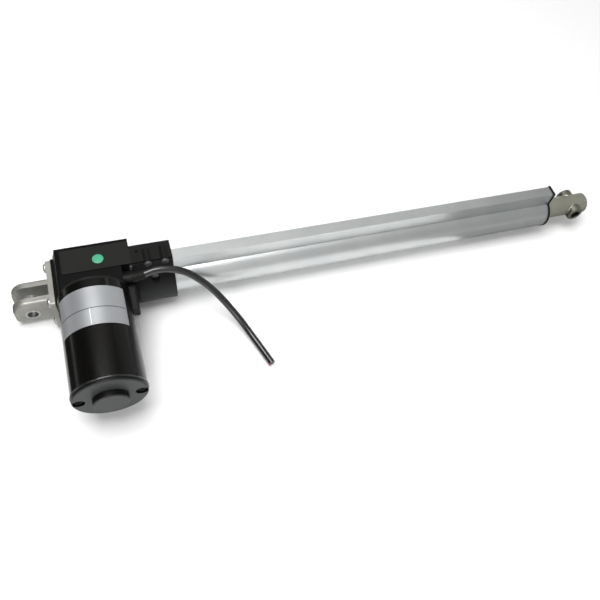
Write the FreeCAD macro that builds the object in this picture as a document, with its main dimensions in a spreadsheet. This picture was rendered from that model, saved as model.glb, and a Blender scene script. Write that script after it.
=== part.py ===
import FreeCAD, Part
import math
import os

import Sketcher
from FreeCAD import Placement, Rotation, Vector

# Electric linear actuator: a worm-gear motor turns a lead screw, whose nut drives a rod
# out of an extruded aluminium tube. Origin: centre of the rear pivot hole.
# +X runs along the tube to the rod end, the motor hangs toward -Y, +Z is up.

doc = FreeCAD.newDocument("linear_actuator")
sheet = doc.addObject("Spreadsheet::Sheet", "Sizes")

# Driving sizes in millimetres; angles in degrees.
SIZES = {
    # Pivots and travel
    "pin_distance": 590.0,
    "stroke": 400.0,
    "axis_rise": 9.0,
    "bore_radius": 5.1,
    "press_gap": 0.02,
    "running_gap": 0.05,
    "open_gap": 0.3,
    "room_gap": 1.2,
    "overcut": 1.0,
    # Rear clevis
    "plate_start": 19.5,
    "plate_thick": 4.5,
    "plate_side": 50.0,
    "plate_height": 41.5,
    "plate_corner": 3.0,
    "ear_reach": 16.0,
    "ear_drop": 10.8,
    "ear_height": 29.5,
    "ear_thick": 6.7,
    "ear_gap": 11.6,
    "ear_tip_round": 13.0,
    "ear_foot_round": 5.0,
    "ear_round": 2.4,
    "bush_wall": 1.4,
    "clevis_screw_across": 38.0,
    "clevis_screw_up": 32.0,
    "clevis_screw_radius": 2.5,
    "clevis_screw_grip": 22.0,
    "clevis_head_radius": 4.5,
    "clevis_head_height": 2.8,
    # Gear housing
    "box_length": 71.5,
    "split_depth": 5.0,
    "block_foot": 2.3,
    "block_setback": 6.0,
    "block_height": 11.0,
    "block_border": 4.5,
    "block_border_drop": 0.9,
    "clamp_length": 37.5,
    "clamp_radius": 22.5,
    "clamp_back": 15.4,
    "cover_edge": 1.6,
    "flank_foot": 8.3,
    "flank_foot_height": 20.9,
    "neck_reach": 28.0,
    "neck_height": 35.5,
    "seat_inset": 1.0,
    "seat_depth": 3.0,
    "housing_round": 1.8,
    "gusset_reach": 12.0,
    "gusset_thick": 3.0,
    "gusset_spread": 15.0,
    "gusset_sink": 2.0,
    "gusset_rise": 21.3,
    "setting_hole_setback": 6.1,
    "setting_hole_across": 6.8,
    "setting_hole_radius": 1.4,
    "rib_radius": 3.6,
    "rib_reach": 13.0,
    # Housing screws, which lie across the tube
    "screw_radius": 2.0,
    "screw_head_radius": 3.5,
    "screw_head_height": 2.4,
    "screw_bite": 9.0,
    "upper_screw_setback": 14.5,
    "upper_screw_pitch": 15.5,
    "upper_screw_height": 34.6,
    "upper_screw_seat": 7.2,
    "lower_screw_setback": 19.5,
    "lower_screw_height": 18.5,
    "lower_screw_seat": 10.4,
    "lock_bite": 0.1,
    "under_screw_rear": 23.2,
    "under_screw_front": 7.5,
    "under_screw_height": 20.5,
    "under_screw_seat": 25.0,
    # Outer tube, a keyhole-shaped extrusion
    "tube_seat": 2.5,
    "tube_setback": 41.0,
    "tube_radius": 17.5,
    "tube_wall": 2.5,
    "channel_width": 11.5,
    "channel_top": 32.5,
    "channel_wall": 1.6,
    "slot_width": 5.0,
    "cap_thick": 2.2,
    "cap_proud": 0.7,
    "cap_spigot": 6.0,
    "wiper_width": 2.5,
    "wiper_proud": 0.5,
    "wiper_lip": 0.8,
    "guide_length": 16.0,
    # Rod and nut
    "rod_radius": 11.0,
    "rod_wall": 2.0,
    "rod_overhang": 17.0,
    "rod_chamfer": 0.8,
    "rod_plug_thick": 6.0,
    "rod_plug_recess": 0.5,
    "cross_bush_radius": 9.0,
    "cross_bush_length": 30.0,
    "cross_bush_chamfer": 0.9,
    "nut_setback": 5.0,
    "nut_length": 26.0,
    "nut_thread_length": 14.0,
    "nut_pin_radius": 1.5,
    "nut_pin_setback": 5.0,
    "tab_length": 18.0,
    "tab_width": 4.4,
    "cam_length": 24.0,
    "cam_width": 7.4,
    "cam_base": 17.8,
    "cam_height": 4.0,
    "board_thick": 1.2,
    "board_inset": 2.0,
    "board_height": 8.0,
    "switch_length": 20.0,
    "switch_width": 5.8,
    "switch_height": 6.6,
    "switch_inset": 4.0,
    # Lead screw line
    "screw_thread_radius": 8.0,
    "nut_thread_gap": 0.2,
    "screw_setback": 5.7,
    "journal_radius": 6.0,
    "journal_chamfer": 0.6,
    "thread_chamfer": 1.0,
    "screw_tip_margin": 16.0,
    "stop_radius": 8.6,
    "stop_thick": 3.0,
    "stop_stud_radius": 4.0,
    "stop_stud_length": 6.0,
    "locknut_radius": 10.0,
    "locknut_thick": 6.0,
    "locknut_setback": 0.8,
    "race_width": 10.0,
    "bearing_radius": 16.0,
    "inner_race_radius": 8.5,
    "outer_race_inside": 13.0,
    "shield_thick": 0.6,
    # Worm wheel and worm
    "wheel_setback": 34.0,
    "gear_module": 1.0,
    "wheel_teeth": 38,
    "wheel_face": 12.0,
    "wheel_hub_radius": 9.8,
    "wheel_web": 5.0,
    "wheel_rim_wall": 3.6,
    "key_side": 4.0,
    "key_length": 16.0,
    "worm_pitch_radius": 6.0,
    "worm_length": 26.0,
    # Motor, whose axis crosses the wheel at the worm's height
    "motor_radius": 31.5,
    "can_wall": 1.8,
    "can_length": 94.5,
    "cap_edge": 4.0,
    "cap_edge_bevel": 0.9,
    "cap_rim_step": 0.2,
    "cap_skirt": 6.5,
    "cap_skirt_wall": 9.0,
    "cap_boss_radius": 15.0,
    "cap_boss_height": 6.0,
    "bolt_inset": 5.8,
    "bolt_radius": 2.0,
    "bolt_head_radius": 3.6,
    "bolt_head_height": 2.6,
    "bolt_recess_radius": 5.3,
    "bolt_recess_depth": 3.0,
    "bolt_bite": 12.0,
    "shaft_radius": 4.0,
    "motor_bush_radius": 8.0,
    "motor_bush_length": 8.0,
    "motor_bush_inset": 2.0,
    "shaft_end_gap": 0.5,
    "front_bush_radius": 9.4,
    "front_bush_length": 7.0,
    "back_bush_length": 5.0,
    "worm_room_radius": 8.4,
    "worm_room_back": 16.0,
    "magnet_wall": 6.8,
    "magnet_overhang": 5.0,
    "magnet_gap_height": 26.0,
    "air_gap": 1.4,
    "core_setback": 22.0,
    "core_slots": 12,
    "core_slot_width": 3.0,
    "core_slot_depth": 7.0,
    "winding_length": 9.0,
    "winding_inset": 4.0,
    "winding_to_bush": 14.0,
    "winding_round": 3.0,
    "commutator_setback": 3.5,
    "commutator_length": 8.5,
    "commutator_radius": 11.0,
    "brush_plate_thick": 2.0,
    "brush_plate_bore": 13.0,
    "brush_holder_inner": 13.5,
    "brush_holder_width": 9.0,
    "brush_holder_depth": 8.5,
    "brush_width": 6.0,
    "brush_depth": 5.0,
    "brush_length": 9.95,
    "brush_setback": 3.0,
    # Terminal cover beside the motor, gland and cord
    "terminal_length": 22.0,
    "terminal_width": 10.0,
    "terminal_proud": 5.5,
    "terminal_wall": 1.5,
    "terminal_root": 4.0,
    "gland_length": 7.0,
    "gland_across": 17.5,
    "gland_height": 31.0,
    "gland_flange_radius": 4.4,
    "gland_flange_thick": 1.5,
    "gland_flange_bevel": 0.3,
    "gland_lip": 0.6,
    "gland_root_depth": 2.0,
    "cord_diameter": 6.8,
    "cord_straight": 7.0,
}
for row, (name, value) in enumerate(SIZES.items(), start=1):
    sheet.set(f"A{row}", name.replace("_", " "))
    sheet.set(f"B{row}", str(value))
    sheet.setAlias(f"B{row}", name)
doc.recompute()


class Size:
    """A length together with the sheet expression that gives it."""

    def __init__(self, text, value):
        self.text = text
        self.value = float(value)

    def joined(self, sign, other, value):
        return Size(f"({self.text} {sign} {as_size(other).text})", value)

    def __add__(self, other):
        return self.joined("+", other, self.value + as_size(other).value)

    def __sub__(self, other):
        return self.joined("-", other, self.value - as_size(other).value)

    def __mul__(self, other):
        return self.joined("*", other, self.value * as_size(other).value)

    def __truediv__(self, other):
        return self.joined("/", other, self.value / as_size(other).value)

    def __neg__(self):
        return Size(f"(0 - {self.text})", -self.value)

    def __radd__(self, other):
        return as_size(other) + self

    def __rmul__(self, other):
        return as_size(other) * self


def as_size(length):
    """Takes a Size or a plain number and gives a Size."""
    return length if isinstance(length, Size) else Size(repr(length), length)


class Sheet:
    """Reads the sizes of the sheet by name."""

    def __getattr__(self, name):
        return Size(f"Sizes.{name}", sheet.get(name))


size = Sheet()
PARTS = {}


def bind(thing, path, length):
    """Ties one property of an object to the sheet."""
    thing.setExpression(path, as_size(length).text)


def place(thing, x=0, y=0, z=0):
    """Ties the place of an object to the sheet."""
    for key, length in (("x", x), ("y", y), ("z", z)):
        bind(thing, f"Placement.Base.{key}", length)


def new_body(label, x=0, y=0, z=0):
    body = doc.addObject("PartDesign::Body", label)
    body.Label = label
    place(body, x, y, z)
    return body


def new_sketch(body, plane, u=0, v=0, out=0):
    """A sketch on one of the body's own planes, moved by u and v in it and by out along its normal."""
    sketch = body.newObject("Sketcher::SketchObject", "Sketch")
    sketch.AttachmentSupport = [
        (next(o for o in body.Origin.OriginFeatures if o.Role == plane), "")
    ]
    sketch.MapMode = "FlatFace"
    for key, length in (("x", u), ("y", v), ("z", out)):
        bind(sketch, f"AttachmentOffset.Base.{key}", length)
    return sketch


def pin_point(sketch, item, point, u, v):
    """Holds one point of a sketch at u and v from the sketch's origin."""
    for kind, length, axis in (("DistanceX", u, -2), ("DistanceY", v, -1)):
        length = as_size(length)
        if length.value == 0:
            sketch.addConstraint(Sketcher.Constraint("PointOnObject", item, point, axis))
            continue
        rule = Sketcher.Constraint(kind, -1, 1, item, point, length.value)
        number = sketch.addConstraint(rule)
        bind(sketch, f"Constraints[{number}]", length)


def add_circle(sketch, radius, u=0, v=0):
    centre = Vector(as_size(u).value, as_size(v).value, 0)
    radius = as_size(radius)
    item = sketch.addGeometry(Part.Circle(centre, Vector(0, 0, 1), radius.value), False)
    number = sketch.addConstraint(Sketcher.Constraint("Radius", item, radius.value))
    bind(sketch, f"Constraints[{number}]", radius)
    pin_point(sketch, item, 3, u, v)


def add_outline(sketch, corners):
    """A closed outline of straight lines through the corners, each held in both directions."""
    points = [Vector(as_size(u).value, as_size(v).value, 0) for u, v in corners]
    first = None
    for n, (here, there) in enumerate(zip(points, points[1:] + points[:1])):
        item = sketch.addGeometry(Part.LineSegment(here, there), False)
        first = item if first is None else first
        if n:
            sketch.addConstraint(Sketcher.Constraint("Coincident", item - 1, 2, item, 1))
        pin_point(sketch, item, 1, *corners[n])
    sketch.addConstraint(Sketcher.Constraint("Coincident", item, 2, first, 1))


def add_rectangle(sketch, u0, v0, u1, v1):
    add_outline(sketch, [(u0, v0), (u1, v0), (u1, v1), (u0, v1)])


def pad(body, sketch, length):
    feature = body.newObject("PartDesign::Pad", "Pad")
    feature.Profile = sketch
    bind(feature, "Length", length)
    return feature


def pocket(body, sketch, length):
    """Cuts the sketch out along its normal."""
    doc.recompute()
    before = body.Tip.Shape.Volume
    feature = body.newObject("PartDesign::Pocket", "Pocket")
    feature.Profile = sketch
    feature.Reversed = True
    bind(feature, "Length", length)
    check_cut(body, feature, before)
    return feature


def groove(body, sketch, axis):
    """Cuts the sketch out all round an axis of the sketch."""
    doc.recompute()
    before = body.Tip.Shape.Volume
    feature = revolve(body, sketch, axis, "Groove")
    check_cut(body, feature, before)


def check_cut(body, feature, before):
    doc.recompute()
    if feature.Shape.Volume > before - 1e-3:
        raise ValueError(f"{feature.Name} of {body.Label} removes nothing")


def revolve(body, sketch, axis, kind="Revolution"):
    feature = body.newObject(f"PartDesign::{kind}", kind)
    feature.Profile = sketch
    feature.ReferenceAxis = (sketch, [axis])
    feature.Angle = 360
    return feature


def turned(label, axis, profile, x=0, y=0, z=0, keep=True):
    """A turned piece about an axis along X or Y; the profile holds (along, radius) pairs."""
    body = new_body(label, x, y, z)
    if axis == "X":
        sketch = new_sketch(body, "XZ_Plane")
        add_outline(sketch, profile)
        revolve(body, sketch, "H_Axis")
    else:
        sketch = new_sketch(body, "XY_Plane")
        add_outline(sketch, [(radius, along) for along, radius in profile])
        revolve(body, sketch, "V_Axis")
    if keep:
        PARTS[label] = body
    return body


def ring(start, end, inner, outer):
    """The profile of a plain ring."""
    return [(start, inner), (end, inner), (end, outer), (start, outer)]


def group(label, members):
    """Equal pieces that share one node, each a solid of its own."""
    compound = doc.addObject("Part::Compound", label)
    compound.Label = label
    compound.Links = members
    PARTS[label] = compound
    return compound


def round_edges(body, radius, wanted, kind="Fillet"):
    """Fillets or chamfers the edges of the body's last feature that are wanted."""
    doc.recompute()
    tip = body.Tip
    names = [f"Edge{n}" for n, edge in enumerate(tip.Shape.Edges, 1) if wanted(edge)]
    feature = body.newObject(f"PartDesign::{kind}", kind)
    feature.Base = (tip, names)
    bind(feature, "Radius" if kind == "Fillet" else "Size", radius)
    return feature


def ends(edge):
    return [vertex.Point for vertex in edge.Vertexes]


def along_x(edge, y, z):
    """Is this a straight edge along X at y and z, in the body's own frame?"""
    points = ends(edge)
    return len(points) == 2 and all(
        abs(p.y - y) < NEAR and abs(p.z - z) < NEAR for p in points
    )


def along_y(edge, x, z):
    """Is this a straight edge along Y at x and z, in the body's own frame?"""
    points = ends(edge)
    return len(points) == 2 and all(
        abs(p.x - x) < NEAR and abs(p.z - z) < NEAR for p in points
    )


def on_flank(edge, flank):
    """Does this edge lie in one of the two planes at flank to either side of the middle?"""
    heights = [p.y for p in ends(edge)]
    return any(all(abs(y - side) < NEAR for y in heights) for side in (flank, -flank))


# Stations along the tube that several pieces share
AXIS = size.axis_rise
MOTOR_UP = size.wheel_teeth * size.gear_module / 2 + size.worm_pitch_radius
MOTOR_AXIS = AXIS + MOTOR_UP
BOX_START = size.plate_start + size.plate_thick
BOX_END = BOX_START + size.box_length
CLAMP_END = BOX_END + size.clamp_length
HALF_SIDE = size.plate_side / 2
PLATE_HALF = size.plate_height / 2
BLOCK_TOP = HALF_SIDE + size.block_height
BORDER_HEIGHT = BLOCK_TOP - size.block_border_drop
WHEEL_STATION = BOX_START + size.wheel_setback
NECK_END = WHEEL_STATION + size.neck_reach
GLAND_END = NECK_END + size.gland_length
UPPER_SCREW_A = BOX_END + size.upper_screw_setback
UPPER_SCREW_B = UPPER_SCREW_A + size.upper_screw_pitch
LOWER_SCREW = BOX_END + size.lower_screw_setback
SEAT_FACE = HALF_SIDE + size.seat_depth
SEAT_RADIUS = size.motor_radius - size.seat_inset
BOLT_OFFSET = size.motor_radius - size.bolt_inset
CAN_END = SEAT_FACE + size.can_length
END_FACE = CAN_END + size.cap_edge
SCREW_START = BOX_START + size.screw_setback
REAR_BEARING = SCREW_START + size.locknut_thick
FRONT_BEARING = WHEEL_STATION + (WHEEL_STATION - REAR_BEARING - size.race_width)
WHEEL_TIP = (size.wheel_teeth / 2 + 1) * size.gear_module
TUBE_START = BOX_END - size.tube_seat
TUBE_END = size.pin_distance - size.tube_setback
TUBE_BORE = size.tube_radius - size.tube_wall
SLOT_TOP = size.channel_top - size.channel_wall
ROD_BORE = size.rod_radius - size.rod_wall
NUT_START = TUBE_START + size.nut_setback
ROD_START = NUT_START + size.nut_thread_length
ROD_END = size.pin_distance + size.rod_overhang
SCREW_END = ROD_START + size.stroke + size.screw_tip_margin
CHANNEL_SIDE = size.channel_width / 2 - size.channel_wall
CAN_BORE = size.motor_radius - size.can_wall
MOTOR_BUSH_START = CAN_END - size.cap_skirt + size.motor_bush_inset
MOTOR_BUSH_END = MOTOR_BUSH_START + size.motor_bush_length
CORE_START = SEAT_FACE + size.core_setback
CORE_LENGTH = MOTOR_BUSH_START - size.winding_to_bush - size.winding_length - CORE_START
CORE_RADIUS = CAN_BORE - size.magnet_wall - size.air_gap
MAGNET_START = CORE_START - size.magnet_overhang
MAGNET_LENGTH = CORE_LENGTH + size.magnet_overhang * 2
BRUSH_INNER = size.commutator_radius + size.running_gap
BRUSH_OUTER = BRUSH_INNER + size.brush_length
BRUSH_HOLDER_OUTER = BRUSH_OUTER + size.brush_setback

# Shares of the gear module: depth of a tooth, half widths of its space, and the worm's root
TOOTH_DEPTH_RATIO = 2.25
TOOTH_SPACE_FOOT_RATIO = 0.45
TOOTH_SPACE_MOUTH_RATIO = 1.2
WORM_DEDENDUM_RATIO = 1.25
NEAR = 1e-4


def make_rear_clevis():
    """The cast bracket: two ears for the rear pivot, rounded all round, on a screwed plate."""
    body = new_body("rear_clevis")
    half_width = size.ear_gap / 2 + size.ear_thick
    top = size.ear_height - size.ear_drop
    sketch = new_sketch(body, "XZ_Plane", out=-half_width)
    add_rectangle(sketch, -size.ear_reach, -size.ear_drop, size.plate_start, top)
    pad(body, sketch, half_width * 2)
    tip = -size.ear_reach.value
    foot = -size.ear_drop.value
    round_edges(body, size.ear_tip_round, lambda edge: along_y(edge, tip, top.value))
    round_edges(body, size.ear_foot_round, lambda edge: along_y(edge, tip, foot))
    root = size.plate_start.value
    flank = half_width.value
    round_edges(
        body,
        size.ear_round,
        lambda edge: on_flank(edge, flank) and min(p.x for p in ends(edge)) < root - NEAR,
    )
    sketch = new_sketch(body, "XZ_Plane", out=-size.ear_gap / 2)
    reach = size.ear_reach * 2
    add_rectangle(sketch, -reach, -reach, size.plate_start, reach)
    pocket(body, sketch, size.ear_gap)
    sketch = new_sketch(body, "YZ_Plane", out=size.plate_start)
    low = AXIS - PLATE_HALF
    high = AXIS + PLATE_HALF
    add_rectangle(sketch, -HALF_SIDE, low, HALF_SIDE, high)
    pad(body, sketch, size.plate_thick)
    sketch = new_sketch(body, "XZ_Plane", out=-HALF_SIDE)
    add_circle(sketch, size.bore_radius + size.bush_wall)
    pocket(body, sketch, size.plate_side)
    sketch = new_sketch(body, "YZ_Plane", out=size.plate_start)
    for y, z in screw_corners():
        add_circle(sketch, size.clevis_screw_radius + size.open_gap, y, AXIS + z)
    pocket(body, sketch, size.plate_thick)
    side = HALF_SIDE.value
    corners = [(y, z) for y in (side, -side) for z in (low.value, high.value)]
    round_edges(
        body, size.plate_corner, lambda edge: any(along_x(edge, y, z) for y, z in corners)
    )
    PARTS["rear_clevis"] = body


def screw_corners():
    """The four corners of the pattern of the clevis screws, about the tube's axis."""
    across = size.clevis_screw_across / 2
    up = size.clevis_screw_up / 2
    return [(y, z) for y in (-across, across) for z in (-up, up)]


def make_pivot_bushes():
    """Two bushes pressed into the ears."""
    outer = size.bore_radius + size.bush_wall - size.press_gap
    inside = size.ear_gap / 2
    profile = ring(inside, inside + size.ear_thick, size.bore_radius, outer)
    mirrored = ring(-inside - size.ear_thick, -inside, size.bore_radius, outer)
    sides = [
        turned("pivot_bush_left", "Y", profile, keep=False),
        turned("pivot_bush_right", "Y", mirrored, keep=False),
    ]
    group("pivot_bushes", sides)


# Shares of a domed head: radius at its top, height of its waist and radius there.
DOME_TOP_RATIO = 0.55
DOME_WAIST_RATIO = 0.45
DOME_SIDE_RATIO = 0.95


def domed_screw(label, axis, seat, sign, grip, shank, head, height, x=0, y=0, z=0):
    """A screw whose head stands out of its seat; sign is +1 where the shank runs up the axis."""
    shoulder = seat - sign * height
    profile = [
        (shoulder, 0),
        (shoulder, head * DOME_TOP_RATIO),
        (seat - sign * height * DOME_WAIST_RATIO, head * DOME_SIDE_RATIO),
        (seat, head),
        (seat, shank),
        (seat + sign * grip, shank),
        (seat + sign * grip, 0),
    ]
    return turned(label, axis, profile, x, y, z, keep=False)


def make_clevis_screws():
    """Four screws from the clevis plate into the gear housing."""
    screws = [
        domed_screw(
            f"clevis_screw_{n}",
            "X",
            size.plate_start,
            1,
            size.clevis_screw_grip,
            size.clevis_screw_radius,
            size.clevis_head_radius,
            size.clevis_head_height,
            y=y,
            z=AXIS + z,
        )
        for n, (y, z) in enumerate(screw_corners())
    ]
    group("clevis_screws", screws)


def screws_through_split():
    """Station, height over the tube axis and depth of the seat of the screws that join the halves."""
    upper = size.upper_screw_height
    under = -size.under_screw_height
    return [
        (UPPER_SCREW_A, upper, size.upper_screw_seat),
        (UPPER_SCREW_B, upper, size.upper_screw_seat),
        (BOX_START + size.under_screw_rear, under, size.under_screw_seat),
        (BOX_END - size.under_screw_front, under, size.under_screw_seat),
    ]


def cut_gear_room(body):
    """Cuts what both housing halves share: the stepped line of the lead screw, the tube socket,
    the worm's room and the holes of the clevis screws."""
    journal_room = size.wheel_hub_radius + size.room_gap
    bearing = size.bearing_radius
    wheel_room = WHEEL_TIP + size.room_gap
    wheel_half = size.wheel_face / 2 + size.room_gap
    start = SCREW_START - size.room_gap
    screw_room = size.screw_thread_radius + size.room_gap
    nut_room = size.locknut_radius + size.room_gap
    mouth = CLAMP_END + size.overcut
    sketch = new_sketch(body, "XZ_Plane")
    add_outline(
        sketch,
        [
            (start, 0),
            (start, nut_room),
            (REAR_BEARING, nut_room),
            (REAR_BEARING, bearing),
            (REAR_BEARING + size.race_width, bearing),
            (REAR_BEARING + size.race_width, journal_room),
            (WHEEL_STATION - wheel_half, journal_room),
            (WHEEL_STATION - wheel_half, wheel_room),
            (WHEEL_STATION + wheel_half, wheel_room),
            (WHEEL_STATION + wheel_half, journal_room),
            (FRONT_BEARING, journal_room),
            (FRONT_BEARING, bearing),
            (FRONT_BEARING + size.race_width, bearing),
            (FRONT_BEARING + size.race_width, screw_room),
            (TUBE_START, screw_room),
            (TUBE_START, size.tube_radius + size.press_gap),
            (mouth, size.tube_radius + size.press_gap),
            (mouth, 0),
        ],
    )
    groove(body, sketch, "H_Axis")
    sketch = new_sketch(body, "YZ_Plane", out=TUBE_START)
    side = size.channel_width / 2 + size.press_gap
    add_rectangle(sketch, -side, 0, side, size.channel_top + size.press_gap)
    pocket(body, sketch, CLAMP_END - TUBE_START)
    sketch = new_sketch(body, "XY_Plane", u=WHEEL_STATION, out=MOTOR_UP)
    back = size.worm_room_back
    front = size.front_bush_length - SEAT_FACE
    add_outline(
        sketch,
        [
            (0, -SEAT_FACE - size.overcut),
            (size.front_bush_radius, -SEAT_FACE - size.overcut),
            (size.front_bush_radius, front),
            (size.worm_room_radius, front),
            (size.worm_room_radius, back),
            (size.motor_bush_radius, back),
            (size.motor_bush_radius, back + size.back_bush_length),
            (0, back + size.back_bush_length),
        ],
    )
    groove(body, sketch, "V_Axis")
    sketch = new_sketch(body, "YZ_Plane", out=BOX_START)
    for y, z in screw_corners():
        add_circle(sketch, size.clevis_screw_radius + size.press_gap, y, z)
    pocket(body, sketch, size.clevis_screw_grip - size.plate_thick)


def slope_rear(body):
    """Slopes the block's rear end up from the clevis plate, with a low border round its top."""
    sketch = new_sketch(body, "XZ_Plane", out=-HALF_SIDE)
    over = BLOCK_TOP + size.overcut
    behind = BOX_START - size.overcut
    crest = BOX_START + size.block_setback
    add_outline(
        sketch,
        [
            (behind, PLATE_HALF),
            (BOX_START + size.block_foot, PLATE_HALF),
            (crest, BORDER_HEIGHT),
            (crest + size.block_border, BLOCK_TOP),
            (crest + size.block_border, over),
            (behind, over),
        ],
    )
    pocket(body, sketch, size.plate_side)


def make_housing_back():
    """The tall half of the moulded gear housing, behind the split."""
    body = new_body("housing_back", z=AXIS)
    split = -size.split_depth
    sketch = new_sketch(body, "YZ_Plane", out=BOX_START)
    add_outline(
        sketch,
        [
            (split, -HALF_SIDE),
            (HALF_SIDE, -HALF_SIDE),
            (HALF_SIDE, BORDER_HEIGHT),
            (HALF_SIDE - size.block_border, BLOCK_TOP),
            (split, BLOCK_TOP),
        ],
    )
    pad(body, sketch, size.box_length)
    slope_rear(body)
    sketch = new_sketch(body, "YZ_Plane", out=BOX_END)
    add_rectangle(sketch, split, 0, size.clamp_back, BLOCK_TOP)
    pad(body, sketch, size.clamp_length)
    sketch = new_sketch(body, "YZ_Plane", out=BOX_END)
    add_circle(sketch, size.clamp_radius)
    pad(body, sketch, size.clamp_length)
    sketch = new_sketch(body, "YZ_Plane", out=BOX_END)
    reach = size.clamp_radius * 2
    add_rectangle(sketch, -reach, -reach, split, reach)
    pocket(body, sketch, size.clamp_length)
    side, top = HALF_SIDE.value, BLOCK_TOP.value
    wanted = ((side, BORDER_HEIGHT.value), (side, -side), (size.clamp_back.value, top))
    round_edges(
        body, size.housing_round, lambda edge: any(along_x(edge, y, z) for y, z in wanted)
    )
    sketch = new_sketch(body, "XZ_Plane", out=size.split_depth - size.rib_reach)
    for station in (UPPER_SCREW_A, UPPER_SCREW_B):
        add_circle(sketch, size.rib_radius, station, size.upper_screw_height)
    pad(body, sketch, size.rib_reach)
    cut_gear_room(body)
    sketch = new_sketch(body, "XZ_Plane", out=size.split_depth - size.screw_bite)
    for station, height, seat in screws_through_split():
        add_circle(sketch, size.screw_radius + size.press_gap, station, height)
    pocket(body, sketch, size.screw_bite)
    sketch = new_sketch(body, "XY_Plane", out=BLOCK_TOP - size.cover_edge)
    station = BOX_END + size.setting_hole_setback
    add_circle(sketch, size.setting_hole_radius, station, size.setting_hole_across)
    pocket(body, sketch, size.cover_edge)
    PARTS["housing_back"] = body


def make_housing_front():
    """The motor side of the gear housing, with the motor's seat and the cable entry."""
    body = new_body("housing_front", z=AXIS)
    split = -size.split_depth
    sketch = new_sketch(body, "YZ_Plane", out=BOX_START)
    add_rectangle(sketch, -HALF_SIDE, -HALF_SIDE, split, HALF_SIDE)
    pad(body, sketch, size.box_length)
    sketch = new_sketch(body, "YZ_Plane", out=BOX_START)
    add_rectangle(sketch, -HALF_SIDE, 0, split, size.neck_height)
    pad(body, sketch, NECK_END - BOX_START)
    slope_rear(body)
    sketch = new_sketch(body, "YZ_Plane", out=BOX_END)
    add_circle(sketch, size.clamp_radius)
    pad(body, sketch, size.clamp_length)
    sketch = new_sketch(body, "YZ_Plane", out=BOX_END)
    foot = -size.flank_foot
    add_outline(
        sketch,
        [
            (0, 0),
            (foot, 0),
            (foot, size.flank_foot_height),
            (split - size.cover_edge, BLOCK_TOP - size.cover_edge),
            (0, BLOCK_TOP - size.cover_edge),
        ],
    )
    pad(body, sketch, size.clamp_length)
    sketch = new_sketch(body, "YZ_Plane", out=BOX_END)
    reach = size.clamp_radius * 2
    add_rectangle(sketch, split, -reach, reach, reach)
    pocket(body, sketch, size.clamp_length)
    side = -HALF_SIDE.value
    wanted = ((side, -side), (side, side))
    round_edges(
        body, size.housing_round, lambda edge: any(along_x(edge, y, z) for y, z in wanted)
    )
    end = NECK_END.value
    round_edges(
        body,
        size.housing_round,
        lambda edge: len(ends(edge)) == 2
        and all(abs(p.x - end) < NEAR and abs(p.y - side) < NEAR for p in ends(edge)),
    )
    sketch = new_sketch(body, "XZ_Plane", out=size.split_depth)
    for station in (UPPER_SCREW_A, UPPER_SCREW_B):
        add_circle(sketch, size.rib_radius, station, size.upper_screw_height)
    pad(body, sketch, size.upper_screw_seat - size.split_depth)
    sketch = new_sketch(body, "XZ_Plane", out=HALF_SIDE)
    add_circle(sketch, SEAT_RADIUS, WHEEL_STATION, MOTOR_UP)
    pad(body, sketch, size.seat_depth)
    for sign in (-1, 1):
        sketch = new_sketch(
            body,
            "YZ_Plane",
            out=WHEEL_STATION + sign * size.gusset_spread - size.gusset_thick / 2,
        )
        foot = size.neck_height - size.gusset_sink
        inside = -HALF_SIDE - size.overcut
        add_outline(
            sketch,
            [
                (inside, foot),
                (size.gusset_reach - HALF_SIDE, foot),
                (size.gusset_reach - HALF_SIDE, size.neck_height),
                (-HALF_SIDE, MOTOR_UP + size.gusset_rise),
                (inside, MOTOR_UP + size.gusset_rise),
            ],
        )
        pad(body, sketch, size.gusset_thick)
    cut_gear_room(body)
    for station, height, seat in screws_through_split():
        sketch = new_sketch(body, "XZ_Plane", out=size.split_depth)
        add_circle(sketch, size.screw_radius + size.open_gap, station, height)
        pocket(body, sketch, seat - size.split_depth)
    lock_seat = size.lower_screw_seat
    for radius, start in (
        (size.screw_radius + size.open_gap, size.split_depth),
        (size.screw_head_radius + size.open_gap, lock_seat),
    ):
        sketch = new_sketch(body, "XZ_Plane", out=start)
        add_circle(sketch, radius, LOWER_SCREW, size.lower_screw_height)
        pocket(body, sketch, HALF_SIDE - start)
    sketch = new_sketch(body, "XZ_Plane", out=SEAT_FACE - size.bolt_bite)
    for sign in (-1, 1):
        station = WHEEL_STATION + sign * BOLT_OFFSET
        add_circle(sketch, size.bolt_radius + size.press_gap, station, MOTOR_UP)
    pocket(body, sketch, size.bolt_bite)
    sketch = new_sketch(body, "YZ_Plane", out=NECK_END - size.gland_root_depth)
    add_circle(
        sketch,
        size.cord_diameter / 2 + size.press_gap,
        -size.gland_across,
        size.gland_height,
    )
    pocket(body, sketch, size.gland_root_depth)
    PARTS["housing_front"] = body


def make_housing_screws():
    """Four screws across the split, and the lock screw that holds the tube in the clamp."""
    tip = size.screw_bite - size.split_depth
    places = [place + (tip,) for place in screws_through_split()]
    lock = (LOWER_SCREW, size.lower_screw_height, size.lower_screw_seat)
    places.append(lock + (-CHANNEL_SIDE - size.lock_bite,))
    screws = [
        domed_screw(
            f"housing_screw_{n}",
            "Y",
            -seat,
            1,
            seat + end,
            size.screw_radius,
            size.screw_head_radius,
            size.screw_head_height,
            x=station,
            z=AXIS + height,
        )
        for n, (station, height, seat, end) in enumerate(places)
    ]
    group("housing_screws", screws)


def add_keyhole(body, start, length, proud):
    """The outside of the extrusion: a round tube with a narrow channel on top."""
    sketch = new_sketch(body, "YZ_Plane", out=start)
    add_circle(sketch, size.tube_radius + proud)
    pad(body, sketch, length)
    sketch = new_sketch(body, "YZ_Plane", out=start)
    side = size.channel_width / 2 + proud
    add_rectangle(sketch, -side, 0, side, size.channel_top + proud)
    pad(body, sketch, length)


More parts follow.
